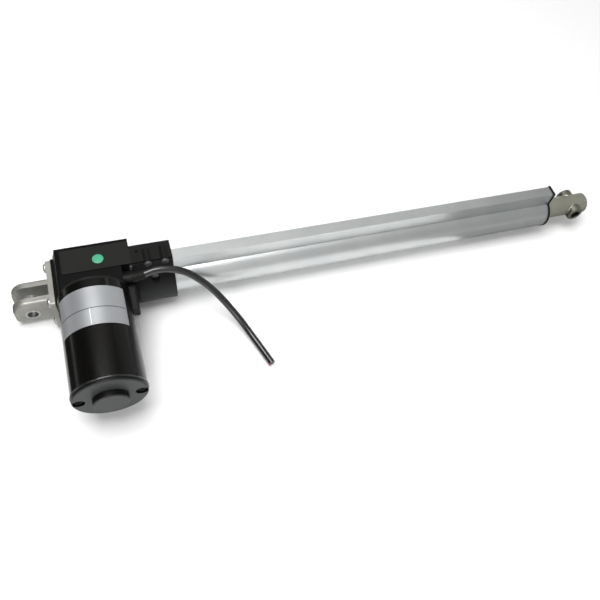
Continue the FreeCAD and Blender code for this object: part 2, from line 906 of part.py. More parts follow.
def make_outer_tube():
    """The keyhole extrusion: bore for the nut, channel for the switches, slot between them."""
    body = new_body("outer_tube", z=AXIS)
    length = TUBE_END - TUBE_START
    add_keyhole(body, TUBE_START, length, 0)
    sketch = new_sketch(body, "YZ_Plane", out=TUBE_START)
    add_circle(sketch, TUBE_BORE)
    pocket(body, sketch, length)
    sketch = new_sketch(body, "YZ_Plane", out=TUBE_START)
    add_rectangle(sketch, -CHANNEL_SIDE, size.tube_radius, CHANNEL_SIDE, SLOT_TOP)
    pocket(body, sketch, length)
    sketch = new_sketch(body, "YZ_Plane", out=TUBE_START)
    half = size.slot_width / 2
    add_rectangle(sketch, -half, 0, half, size.tube_radius + size.overcut)
    pocket(body, sketch, length)
    sketch = new_sketch(body, "XZ_Plane", out=CHANNEL_SIDE)
    add_circle(
        sketch,
        size.screw_radius + size.press_gap,
        LOWER_SCREW,
        size.lower_screw_height,
    )
    pocket(body, sketch, size.tube_radius)
    PARTS["outer_tube"] = body


def make_front_cap():
    """The black end cap: a thin flange that stands proud of the tube, and its spigot."""
    body = new_body("front_cap", z=AXIS)
    add_keyhole(body, TUBE_END, size.cap_thick, size.cap_proud)
    sketch = new_sketch(body, "YZ_Plane", out=TUBE_END - size.cap_spigot)
    add_circle(sketch, TUBE_BORE - size.press_gap)
    pad(body, sketch, size.cap_spigot + size.overcut)
    sketch = new_sketch(body, "YZ_Plane", out=TUBE_END - size.cap_spigot)
    add_circle(sketch, size.rod_radius + size.open_gap)
    pocket(body, sketch, size.cap_spigot + size.cap_thick)
    sketch = new_sketch(body, "YZ_Plane", out=TUBE_END - size.cap_thick)
    add_circle(sketch, size.rod_radius + size.wiper_width)
    pocket(body, sketch, size.cap_thick * 2)
    PARTS["front_cap"] = body


def make_rod_guides():
    """The wiper in the cap and the guide bush behind it, which carry the rod."""
    start = TUBE_END - size.cap_thick
    end = TUBE_END + size.cap_thick
    inner = size.rod_radius + size.running_gap
    outer = size.rod_radius + size.wiper_width - size.press_gap
    profile = [
        (start, inner),
        (end + size.wiper_proud, inner),
        (end + size.wiper_proud, inner + size.wiper_lip),
        (end, outer),
        (start, outer),
    ]
    turned("rod_wiper", "X", profile, z=AXIS)
    end = TUBE_END - size.cap_spigot
    outer = TUBE_BORE - size.press_gap
    turned("guide_bush", "X", ring(end - size.guide_length, end, inner, outer), z=AXIS)


def make_piston_rod():
    """The steel tube that slides, with a cross hole for the eye bush and pin holes for the nut."""
    body = new_body("piston_rod", z=AXIS)
    edge = size.rod_chamfer
    radius = size.rod_radius
    sketch = new_sketch(body, "XZ_Plane")
    add_outline(
        sketch,
        [
            (ROD_START, ROD_BORE),
            (ROD_END, ROD_BORE),
            (ROD_END, radius - edge),
            (ROD_END - edge, radius),
            (ROD_START, radius),
        ],
    )
    revolve(body, sketch, "H_Axis")
    sketch = new_sketch(body, "XZ_Plane", out=-radius * 2)
    add_circle(sketch, size.cross_bush_radius + size.press_gap, size.pin_distance, 0)
    add_circle(sketch, size.nut_pin_radius + size.press_gap, nut_pin_station(), 0)
    pocket(body, sketch, radius * 4)
    PARTS["piston_rod"] = body


def nut_pin_station():
    return NUT_START + size.nut_length - size.nut_pin_setback


def make_rod_end():
    """The cross bush that makes the front eye, and the plug that closes the rod."""
    half = size.cross_bush_length / 2
    edge = size.cross_bush_chamfer
    outer = size.cross_bush_radius
    profile = [
        (-half, size.bore_radius),
        (half, size.bore_radius),
        (half, outer - edge),
        (half - edge, outer),
        (edge - half, outer),
        (-half, outer - edge),
    ]
    turned("rod_end_bush", "Y", profile, x=size.pin_distance, z=AXIS)
    end = ROD_END - size.rod_plug_recess
    radius = ROD_BORE - size.press_gap
    start = end - size.rod_plug_thick
    plug = [(start, 0), (end, 0), (end, radius), (start, radius)]
    turned("rod_end_plug", "X", plug, z=AXIS)


def make_drive_nut():
    """The plastic nut: threaded part, socket for the rod and the tab that rides in the slot."""
    body = new_body("drive_nut", z=AXIS)
    start = NUT_START
    end = start + size.nut_length
    thread = size.screw_thread_radius + size.nut_thread_gap
    socket = size.rod_radius + size.press_gap
    outer = TUBE_BORE - size.open_gap
    sketch = new_sketch(body, "XZ_Plane")
    add_outline(
        sketch,
        [
            (start, thread),
            (ROD_START, thread),
            (ROD_START, socket),
            (end, socket),
            (end, outer),
            (start, outer),
        ],
    )
    revolve(body, sketch, "H_Axis")
    sketch = new_sketch(body, "YZ_Plane", out=start + (size.nut_length - size.tab_length) / 2)
    half = size.tab_width / 2
    add_rectangle(sketch, -half, socket + size.overcut, half, size.cam_base)
    pad(body, sketch, size.tab_length)
    sketch = new_sketch(body, "XZ_Plane", out=-TUBE_BORE)
    add_circle(sketch, size.nut_pin_radius + size.press_gap, nut_pin_station(), 0)
    pocket(body, sketch, TUBE_BORE * 2)
    PARTS["drive_nut"] = body


def make_nut_pins():
    """Two pins that hold the rod in the nut."""
    inner = ROD_BORE + size.open_gap
    outer = TUBE_BORE - size.open_gap * 2
    radius = size.nut_pin_radius
    pins = [
        turned(
            f"nut_pin_{n}",
            "Y",
            [
                (sign * inner, 0),
                (sign * outer, 0),
                (sign * outer, radius),
                (sign * inner, radius),
            ],
            x=nut_pin_station(),
            z=AXIS,
            keep=False,
        )
        for n, sign in enumerate((-1, 1))
    ]
    group("nut_pins", pins)


def make_block(label, x0, y0, z0, x1, y1, z1, keep=True):
    """A rectangular piece between two corners."""
    body = new_body(label, x0, y0, z0)
    sketch = new_sketch(body, "XY_Plane")
    add_rectangle(sketch, 0, 0, as_size(x1) - x0, as_size(y1) - y0)
    pad(body, sketch, as_size(z1) - z0)
    if keep:
        PARTS[label] = body
    return body


def make_switch_parts():
    """The cam on the nut, and the two limit switches on their board in the channel."""
    middle = NUT_START + size.nut_length / 2
    reach = size.cam_length / 2
    half = size.cam_width / 2
    base = AXIS + size.cam_base
    body = new_body("switch_cam")
    sketch = new_sketch(body, "XZ_Plane", out=-half)
    ramp = size.cam_height
    add_outline(
        sketch,
        [
            (middle - reach, base),
            (middle + reach, base),
            (middle + reach, base + ramp / 3),
            (middle + reach - ramp, base + ramp),
            (middle - reach + ramp, base + ramp),
            (middle - reach, base + ramp / 3),
        ],
    )
    pad(body, sketch, size.cam_width)
    PARTS["switch_cam"] = body
    roof = AXIS + SLOT_TOP - size.press_gap
    side = CHANNEL_SIDE - size.press_gap
    board = side - size.board_thick
    make_block(
        "switch_board",
        TUBE_START + size.board_inset,
        board,
        roof - size.board_height,
        TUBE_END - size.board_inset,
        side,
        roof,
    )
    foot = roof - size.switch_inset / 2 - size.switch_height + size.open_gap
    switches = [
        make_block(
            f"limit_switch_{n}",
            middle + travel - size.switch_length / 2,
            board - size.switch_width,
            foot,
            middle + travel + size.switch_length / 2,
            board,
            foot + size.switch_height,
            keep=False,
        )
        for n, travel in enumerate((size.press_gap, size.stroke))
    ]
    group("limit_switches", switches)


def make_lead_screw():
    """The lead screw: journal for bearings and wheel, long threaded part and end stud."""
    body = new_body("lead_screw", z=AXIS)
    shoulder = FRONT_BEARING + size.race_width
    journal = size.journal_radius
    thread = size.screw_thread_radius
    stud = size.stop_stud_radius
    sketch = new_sketch(body, "XZ_Plane")
    add_outline(
        sketch,
        [
            (SCREW_START, 0),
            (SCREW_START, journal - size.journal_chamfer),
            (SCREW_START + size.journal_chamfer, journal),
            (shoulder, journal),
            (shoulder, thread),
            (SCREW_END - size.thread_chamfer, thread),
            (SCREW_END, thread - size.thread_chamfer),
            (SCREW_END, stud),
            (SCREW_END + size.stop_stud_length, stud),
            (SCREW_END + size.stop_stud_length, 0),
        ],
    )
    revolve(body, sketch, "H_Axis")
    sketch = new_sketch(body, "YZ_Plane", out=WHEEL_STATION - size.key_length / 2)
    half = size.key_side / 2 + size.press_gap
    add_rectangle(sketch, -half, journal - size.key_side / 2, half, journal + size.overcut)
    pocket(body, sketch, size.key_length)
    PARTS["lead_screw"] = body


def make_worm_wheel():
    """The plastic worm wheel with its hub, recessed web and toothed rim."""
    body = new_body("worm_wheel", x=WHEEL_STATION, z=AXIS)
    hub_half = WHEEL_STATION - REAR_BEARING - size.race_width
    face_half = size.wheel_face / 2
    web_half = size.wheel_web / 2
    root = WHEEL_TIP - size.gear_module * TOOTH_DEPTH_RATIO
    rim = root - size.wheel_rim_wall
    hub = size.wheel_hub_radius
    bore = size.journal_radius + size.press_gap
    sketch = new_sketch(body, "XZ_Plane")
    add_outline(
        sketch,
        [
            (-hub_half, bore),
            (hub_half, bore),
            (hub_half, hub),
            (web_half, hub),
            (web_half, rim),
            (face_half, rim),
            (face_half, WHEEL_TIP),
            (-face_half, WHEEL_TIP),
            (-face_half, rim),
            (-web_half, rim),
            (-web_half, hub),
            (-hub_half, hub),
        ],
    )
    revolve(body, sketch, "H_Axis")
    sketch = new_sketch(body, "YZ_Plane", out=-size.key_length / 2)
    half = size.key_side / 2 + size.press_gap
    add_rectangle(sketch, -half, 0, half, size.journal_radius + size.key_side / 2)
    pocket(body, sketch, size.key_length)
    sketch = new_sketch(body, "YZ_Plane", out=-face_half)
    foot = size.gear_module * TOOTH_SPACE_FOOT_RATIO
    mouth = size.gear_module * TOOTH_SPACE_MOUTH_RATIO
    outside = WHEEL_TIP + size.gear_module / 2
    add_outline(sketch, [(-foot, root), (foot, root), (mouth, outside), (-mouth, outside)])
    space = pocket(body, sketch, size.wheel_face)
    repeat_round(body, space, sketch, size.wheel_teeth)
    PARTS["worm_wheel"] = body


def repeat_round(body, feature, sketch, count):
    """Repeats a cut evenly about the normal through its sketch's origin."""
    pattern = body.newObject("PartDesign::PolarPattern", "PolarPattern")
    pattern.Originals = [feature]
    pattern.Axis = (sketch, ["N_Axis"])
    pattern.Angle = 360
    bind(pattern, "Occurrences", count)
    body.Tip = pattern
    return pattern


def make_screw_fittings():
    """Key, bearings, lock nut and end stop of the lead screw."""
    half = size.key_side / 2
    journal = size.journal_radius
    make_block(
        "wheel_key",
        WHEEL_STATION - size.key_length / 2,
        -half,
        AXIS + journal - half,
        WHEEL_STATION + size.key_length / 2,
        half,
        AXIS + journal + half - size.press_gap,
    )
    width = size.race_width
    shield = size.shield_thick
    inner, outer = [], []
    for n, start in enumerate((REAR_BEARING, FRONT_BEARING)):
        profile = ring(0, width, journal + size.press_gap, size.inner_race_radius)
        inner.append(turned(f"inner_race_{n}", "X", profile, x=start, z=AXIS, keep=False))
        lip = size.inner_race_radius + size.open_gap
        profile = [
            (0, lip),
            (shield, lip),
            (shield, size.outer_race_inside),
            (width - shield, size.outer_race_inside),
            (width - shield, lip),
            (width, lip),
            (width, size.bearing_radius - size.press_gap),
            (0, size.bearing_radius - size.press_gap),
        ]
        outer.append(turned(f"outer_race_{n}", "X", profile, x=start, z=AXIS, keep=False))
    group("inner_races", inner)
    group("outer_races", outer)
    nut_start = SCREW_START + size.locknut_setback
    profile = ring(nut_start, REAR_BEARING, journal + size.press_gap, 0)
    profile[2:] = [
        (REAR_BEARING, size.locknut_radius),
        (nut_start, size.locknut_radius),
    ]
    turned("screw_locknut", "X", profile, z=AXIS)
    stud = size.stop_stud_radius + size.press_gap
    profile = ring(SCREW_END, SCREW_END + size.stop_thick, stud, size.stop_radius)
    turned("screw_stop", "X", profile, z=AXIS)


def at_motor(label, profile, keep=True):
    """A piece turned about the motor's axis; distances run away from the tube."""
    flipped = [(-as_size(along), radius) for along, radius in profile]
    return turned(label, "Y", flipped, x=WHEEL_STATION, z=MOTOR_AXIS, keep=keep)


def make_rotor():
    """Shaft with its worm, core, windings and commutator."""
    shaft = size.shaft_radius
    core_of_worm = size.worm_pitch_radius - size.gear_module * WORM_DEDENDUM_RATIO
    half = size.worm_length / 2
    back = -size.worm_room_back - size.back_bush_length
    tail = MOTOR_BUSH_END - size.shaft_end_gap
    at_motor(
        "worm_shaft",
        [
            (back, 0),
            (back, shaft),
            (-half, shaft),
            (-half, core_of_worm),
            (half, core_of_worm),
            (half, shaft),
            (tail, shaft),
            (tail, 0),
        ],
    )
    body = new_body("armature_core", x=WHEEL_STATION, z=MOTOR_AXIS)
    sketch = new_sketch(body, "XZ_Plane", out=CORE_START)
    add_circle(sketch, CORE_RADIUS)
    add_circle(sketch, shaft + size.press_gap)
    pad(body, sketch, CORE_LENGTH)
    sketch = new_sketch(body, "XZ_Plane", out=CORE_START)
    half = size.core_slot_width / 2
    depth = CORE_RADIUS - size.core_slot_depth
    add_rectangle(sketch, -half, depth, half, CORE_RADIUS + size.overcut)
    slot = pocket(body, sketch, CORE_LENGTH)
    repeat_round(body, slot, sketch, size.core_slots)
    PARTS["armature_core"] = body
    rim = CORE_RADIUS - size.winding_inset
    edge = size.winding_round
    bore = shaft + size.press_gap
    ends_of_core = (
        CORE_START - size.winding_length,
        CORE_START + CORE_LENGTH,
    )
    windings = [
        at_motor(
            f"winding_{n}",
            [
                (start, bore),
                (start + size.winding_length, bore),
                (start + size.winding_length, rim - edge),
                (start + size.winding_length - edge, rim),
                (start + edge, rim),
                (start, rim - edge),
            ],
            keep=False,
        )
        for n, start in enumerate(ends_of_core)
    ]
    group("armature_windings", windings)
    start = SEAT_FACE + size.commutator_setback
    end = start + size.commutator_length
    at_motor("commutator", ring(start, end, bore, size.commutator_radius))


def make_motor_shell():
    """Drawn steel can, end cap with its boss, and the two long bolts."""
    at_motor("motor_can", ring(SEAT_FACE, CAN_END, CAN_BORE, size.motor_radius))
    body = new_body("motor_end_cap", x=WHEEL_STATION, z=MOTOR_AXIS)
    skirt = CAN_END - size.cap_skirt
    bevel = size.cap_edge_bevel
    rim = size.motor_radius - size.cap_rim_step
    boss = END_FACE + size.cap_boss_height
    bush = size.motor_bush_radius
    sketch = new_sketch(body, "XY_Plane")
    corners = [
        (skirt, CAN_BORE - size.cap_skirt_wall),
        (skirt, CAN_BORE - size.press_gap),
        (CAN_END, CAN_BORE - size.press_gap),
        (CAN_END, rim),
        (END_FACE - bevel, rim),
        (END_FACE, rim - bevel),
        (END_FACE, size.cap_boss_radius),
        (boss - bevel, size.cap_boss_radius),
        (boss, size.cap_boss_radius - bevel),
        (boss, 0),
        (MOTOR_BUSH_END, 0),
        (MOTOR_BUSH_END, bush),
        (MOTOR_BUSH_START, bush),
        (MOTOR_BUSH_START, CAN_BORE - size.cap_skirt_wall),
    ]
    add_outline(sketch, [(radius, -along) for along, radius in corners])
    revolve(body, sketch, "V_Axis")
    for radius, depth in (
        (size.bolt_radius + size.open_gap, size.cap_skirt + size.cap_edge),
        (size.bolt_recess_radius, size.bolt_recess_depth),
    ):
        sketch = new_sketch(body, "XZ_Plane", out=END_FACE - depth)
        for sign in (-1, 1):
            add_circle(sketch, radius, sign * BOLT_OFFSET, 0)
        pocket(body, sketch, depth)
    PARTS["motor_end_cap"] = body
    seat = END_FACE - size.bolt_recess_depth
    bolts = [
        domed_screw(
            f"through_bolt_{n}",
            "Y",
            -seat,
            1,
            seat - SEAT_FACE + size.bolt_bite,
            size.bolt_radius,
            size.bolt_head_radius,
            size.bolt_head_height,
            x=WHEEL_STATION + sign * BOLT_OFFSET,
            z=MOTOR_AXIS,
        )
        for n, sign in enumerate((-1, 1))
    ]
    group("through_bolts", bolts)


def make_motor_bushes():
    """Plain bearings of the rotor: one in the end cap, two beside the worm."""
    bore = size.shaft_radius + size.running_gap
    outer = size.motor_bush_radius - size.press_gap
    at_motor("motor_bush", ring(MOTOR_BUSH_START, MOTOR_BUSH_END, bore, outer))
    front = SEAT_FACE - size.front_bush_length
    back = -size.worm_room_back
    front_ring = ring(front, SEAT_FACE, bore, size.front_bush_radius - size.press_gap)
    back_ring = ring(back - size.back_bush_length, back, bore, outer)
    bushes = [
        at_motor("worm_bush_front", front_ring, keep=False),
        at_motor("worm_bush_back", back_ring, keep=False),
    ]
    group("worm_bushes", bushes)


def make_magnets():
    """Two magnet shells inside the can, parted by the gaps in which the bolts run."""
    start = MAGNET_START
    outer = CAN_BORE - size.press_gap
    profile = ring(start, start + MAGNET_LENGTH, outer - size.magnet_wall, outer)
    whole = at_motor("magnet_ring", profile, keep=False)
    half = size.magnet_gap_height / 2
    reach = size.motor_radius + size.overcut
    gap = make_block(
        "magnet_gap",
        WHEEL_STATION - reach,
        -start - MAGNET_LENGTH - size.overcut,
        MOTOR_AXIS - half,
        WHEEL_STATION + reach,
        -(start - size.overcut),
        MOTOR_AXIS + half,
        keep=False,
    )
    magnets = doc.addObject("Part::Cut", "motor_magnets")
    magnets.Label = "motor_magnets"
    magnets.Base = whole
    magnets.Tool = gap
    PARTS["motor_magnets"] = magnets


def make_brush_gear():
    """The plate on the motor's seat with its two brush holders, and the carbon brushes."""
    body = new_body("brush_plate", x=WHEEL_STATION, z=MOTOR_AXIS)
    sketch = new_sketch(body, "XZ_Plane", out=SEAT_FACE)
    add_circle(sketch, CAN_BORE - size.press_gap)
    add_circle(sketch, size.brush_plate_bore)
    pad(body, sketch, size.brush_plate_thick)
    half = size.brush_holder_width / 2
    for sign in (-1, 1):
        sketch = new_sketch(body, "XZ_Plane", out=SEAT_FACE)
        near, far = sign * size.brush_holder_inner, sign * BRUSH_HOLDER_OUTER
        add_rectangle(sketch, -half, min(near, far, key=value_of), half, max(near, far, key=value_of))
        pad(body, sketch, size.brush_plate_thick + size.brush_holder_depth)
    middle = SEAT_FACE + size.brush_plate_thick + size.brush_holder_depth / 2
    brush_start = middle - size.brush_depth / 2
    sketch = new_sketch(body, "XZ_Plane", out=brush_start)
    side = size.brush_width / 2 + size.press_gap
    add_rectangle(sketch, -side, -BRUSH_OUTER, side, BRUSH_OUTER)
    pocket(body, sketch, size.brush_depth)
    sketch = new_sketch(body, "XZ_Plane", out=SEAT_FACE)
    for sign in (-1, 1):
        add_circle(sketch, size.bolt_radius + size.open_gap, sign * BOLT_OFFSET, 0)
    pocket(body, sketch, size.brush_plate_thick)
    PARTS["brush_plate"] = body
    side = size.brush_width / 2
    brushes = []
    for n, sign in enumerate((-1, 1)):
        low, high = sorted((sign * BRUSH_INNER, sign * BRUSH_OUTER), key=value_of)
        brushes.append(
            make_block(
                f"brush_{n}",
                WHEEL_STATION - side,
                -brush_start - size.brush_depth,
                MOTOR_AXIS + low,
                WHEEL_STATION + side,
                -brush_start,
                MOTOR_AXIS + high,
                keep=False,
            )
        )
    group("brushes", brushes)


def value_of(length):
    return length.value


def make_terminal_cover():
    """The moulded cover over the motor's leads, along the can on the tube's side."""
    body = new_body("terminal_cover", x=WHEEL_STATION, z=MOTOR_AXIS)
    sketch = new_sketch(body, "XZ_Plane", out=SEAT_FACE)
    half = size.terminal_width / 2
    outside = size.motor_radius + size.terminal_proud
    edge = size.terminal_wall
    add_outline(
        sketch,
        [
            (size.motor_radius - size.terminal_root, -half),
            (outside - edge, -half),
            (outside, edge - half),
            (outside, half - edge),
            (outside - edge, half),
            (size.motor_radius - size.terminal_root, half),
        ],
    )
    pad(body, sketch, size.terminal_length)
    sketch = new_sketch(body, "XZ_Plane", out=SEAT_FACE - size.overcut)
    add_circle(sketch, size.motor_radius + size.press_gap)
    pocket(body, sketch, size.terminal_length + size.overcut * 2)
    PARTS["terminal_cover"] = body


def make_gland():
    """The moulded cable gland in the housing's neck."""
    bore = size.cord_diameter / 2 + size.press_gap
    face = NECK_END
    flange = size.gland_flange_radius
    profile = [
        (face, bore),
        (GLAND_END, bore),
        (GLAND_END, bore + size.gland_lip),
        (face + size.gland_flange_thick, flange - size.gland_flange_bevel),
        (face + size.gland_flange_thick, flange),
        (face, flange),
    ]
    turned("cable_gland", "X", profile, y=-size.gland_across, z=AXIS + size.gland_height)


# The cord's route after the gland, chosen by eye along the picture: over the clamp, down in
# front of the tube and along the level of the gear housing's underside.
CORD_ROUTE = [
    (114.5, -14.5, 42.5),
    (130.0, -15.5, 41.0),
    (144.0, -19.5, 36.0),
    (155.5, -26.5, 29.0),
    (166.0, -33.0, 18.0),
    (176.0, -43.0, 7.0),
    (185.5, -56.0, -3.0),
    (193.5, -72.0, -9.5),
    (200.0, -88.5, -12.0),
    (206.0, -106.5, -12.0),
]
RUN_SHARE = 0.45


def cord_path(points):
    """Straight runs joined by tangent arcs, each as large as its two runs allow."""
    edges, radii = [], []
    start = points[0]
    for before, corner, after in zip(points, points[1:], points[2:]):
        inward = (before - corner).normalize()
        onward = (after - corner).normalize()
        half_turn = (math.pi - inward.getAngle(onward)) / 2
        reach = RUN_SHARE * min(before.distanceToPoint(corner), after.distanceToPoint(corner))
        radius = reach / math.tan(half_turn)
        first = corner + inward * reach
        last = corner + onward * reach
        middle_way = (inward + onward).normalize()
        middle = corner + middle_way * (radius / math.cos(half_turn) - radius)
        edges.append(Part.LineSegment(start, first).toShape())
        edges.append(Part.Arc(first, middle, last).toShape())
        radii.append(radius)
        start = last
    edges.append(Part.LineSegment(start, points[-1]).toShape())
    return Part.Wire(edges), radii


def make_power_cord():
    """The two-core cord, swept along its route from inside the neck to its cut end."""
    radius = size.cord_diameter.value / 2
    across = -size.gland_across.value
    height = (AXIS + size.gland_height).value
    root = (NECK_END - size.gland_root_depth).value
    straight = (GLAND_END + size.cord_straight).value
    points = [Vector(root, across, height), Vector(straight, across, height)]
    points += [Vector(*point) for point in CORD_ROUTE]
    path, radii = cord_path(points)
    circle = Part.makeCircle(radius, points[0], Vector(1, 0, 0))
    sweep = Part.BRepOffsetAPI.MakePipeShell(path)
    sweep.setFrenetMode(False)
    sweep.add(Part.Wire([circle]))
    sweep.build()
    sweep.makeSolid()
    shape = sweep.shape()
    expected = math.pi * radius**2 * path.Length
    if abs(shape.Volume - expected) > 0.01 * expected:
        raise ValueError(f"the cord holds {shape.Volume:.0f} mm3 and not {expected:.0f}")
    print(f"cord length {path.Length:.1f} mm")
    print("cord radii " + ", ".join(f"{r:.0f}" for r in radii) + " mm")
    cord = doc.addObject("Part::Feature", "power_cord")
    cord.Label = "power_cord"
    cord.Shape = shape
    cord.Placement = Placement(Vector(0, 0, 0), Rotation())
    PARTS["power_cord"] = cord


def check_and_write():
    """Stops on any failed object, then writes each sub-part to its file."""
    doc.recompute()
    for thing in doc.Objects:
        if {"Invalid", "Error"} & set(thing.State):
            raise ValueError(f"{thing.Name} of the model failed: {thing.State}")
    os.makedirs("parts", exist_ok=True)
    for label, thing in PARTS.items():
        shape = thing.Shape
        if shape.isNull() or not shape.isValid():
            raise ValueError(f"{label} has no valid shape")
        shape.exportStep(f"parts/{label}.step")
        print(f"{label}: {len(shape.Solids)} solid(s), {shape.Volume:.0f} mm3")


make_rear_clevis()
make_pivot_bushes()
make_clevis_screws()
make_housing_back()
make_housing_front()
make_housing_screws()
make_outer_tube()
make_front_cap()
make_rod_guides()
make_piston_rod()
make_rod_end()
make_drive_nut()
make_nut_pins()
make_switch_parts()
make_lead_screw()
make_worm_wheel()
make_screw_fittings()
make_rotor()
make_motor_shell()
make_motor_bushes()
make_magnets()
make_brush_gear()
make_terminal_cover()
make_gland()
make_power_cord()
check_and_write()
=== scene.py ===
import logging
from collections.abc import Callable, Sequence
from dataclasses import dataclass
from enum import Enum
from math import cos, pi, radians, sin, sqrt, tau
from typing import ClassVar

import bmesh
import bpy
from mathutils import Matrix, Vector


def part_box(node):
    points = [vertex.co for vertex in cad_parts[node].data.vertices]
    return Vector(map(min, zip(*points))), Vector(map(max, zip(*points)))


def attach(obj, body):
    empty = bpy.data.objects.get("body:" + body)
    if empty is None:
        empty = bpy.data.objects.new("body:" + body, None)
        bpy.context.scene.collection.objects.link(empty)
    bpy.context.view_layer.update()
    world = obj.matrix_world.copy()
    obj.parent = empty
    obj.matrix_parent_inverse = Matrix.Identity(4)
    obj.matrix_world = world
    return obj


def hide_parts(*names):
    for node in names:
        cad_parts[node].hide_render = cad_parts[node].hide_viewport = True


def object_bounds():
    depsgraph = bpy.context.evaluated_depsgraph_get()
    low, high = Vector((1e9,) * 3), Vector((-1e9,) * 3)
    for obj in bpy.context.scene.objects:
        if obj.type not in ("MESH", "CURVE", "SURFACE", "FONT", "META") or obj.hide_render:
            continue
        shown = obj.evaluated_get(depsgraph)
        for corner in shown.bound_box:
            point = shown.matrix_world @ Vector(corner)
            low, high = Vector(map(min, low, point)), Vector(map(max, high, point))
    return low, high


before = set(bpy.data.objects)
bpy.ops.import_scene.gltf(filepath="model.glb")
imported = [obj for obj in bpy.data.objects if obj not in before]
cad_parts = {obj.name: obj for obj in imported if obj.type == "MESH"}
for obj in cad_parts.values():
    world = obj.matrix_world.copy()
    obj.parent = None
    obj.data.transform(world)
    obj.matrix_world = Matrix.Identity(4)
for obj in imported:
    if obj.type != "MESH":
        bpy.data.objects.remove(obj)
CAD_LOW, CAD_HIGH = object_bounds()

LOG = logging.getLogger("linear_actuator")
MM = 0.001
SAME_POINT_M = 1e-6
SMOOTH_DEG = 35
BEVEL_DEG = 40
CLOUD_MM = 28
NOISE_SPAN = (0.3, 0.7)  # where nearly all of a noise's values lie
LEAST_ROUGHNESS = 0.02
DOWNWARD = -0.9  # a face whose normal has a lower Z looks down
WAVE_TURN = 20  # radians that a wave of scale 1 turns in a metre

Piece = bpy.types.Object
Tree = bpy.types.NodeTree
Socket = bpy.types.NodeSocket
Pair = tuple[float, float]
Point = tuple[float, float, float]


class Body(Enum):
    """The rigid bodies that pieces ride on."""

    FRAME = "frame"
    ROD = "rod"
    SCREW = "screw"
    ROTOR = "rotor"


class Facing(Enum):
    """The way that a piece made along +Z is laid: degrees, the axis it is turned about, and its own."""

    FRONT = (90, "Y", 0)
    REAR = (-90, "Y", 0)
    MOTOR = (90, "X", 1)

    def turn(self) -> Matrix:
        """The turn that brings +Z there."""
        return Matrix.Rotation(radians(self.value[0]), 4, self.value[1])


def srgb(hex_code: str) -> tuple[float, float, float, float]:
    """Turns an sRGB hex colour into linear values.

    Args:
        hex_code: Six hex digits.

    Returns:
        Linear red, green and blue, and an alpha of 1.
    """
    parts = [int(hex_code[i : i + 2], 16) / 255 for i in (0, 2, 4)]
    linear = [c / 12.92 if c <= 0.04045 else ((c + 0.055) / 1.055) ** 2.4 for c in parts]
    return (*linear, 1.0)


def add_node(
    tree: Tree, kind: str, settings: dict | None = None, values: dict | None = None, links: dict | None = None
) -> bpy.types.Node:
    """Adds one shader node.

    Args:
        tree: The node tree.
        kind: The node's Blender type name after ShaderNode.
        settings: Attributes of the node.
        values: Socket values by socket name or number.
        links: Output sockets that feed this node, by socket name or number.

    Returns:
        The new node.
    """
    node = tree.nodes.new(f"ShaderNode{kind}")
    for key, value in (settings or {}).items():
        setattr(node, key, value)
    for key, value in (values or {}).items():
        node.inputs[key].default_value = value
    for key, output in (links or {}).items():
        tree.links.new(output, node.inputs[key])
    return node


def bare_tree(owner: bpy.types.Material | bpy.types.World) -> Tree:
    """Gives a material or the sky an empty node tree."""
    owner.use_nodes = True
    owner.node_tree.nodes.clear()
    return owner.node_tree


@dataclass(frozen=True)
class Surface:
    """What a finish draws from: the node tree, Object coordinates, soft clouds and its fine grain."""

    tree: Tree
    place: Socket
    cloud: Socket
    grain: Socket


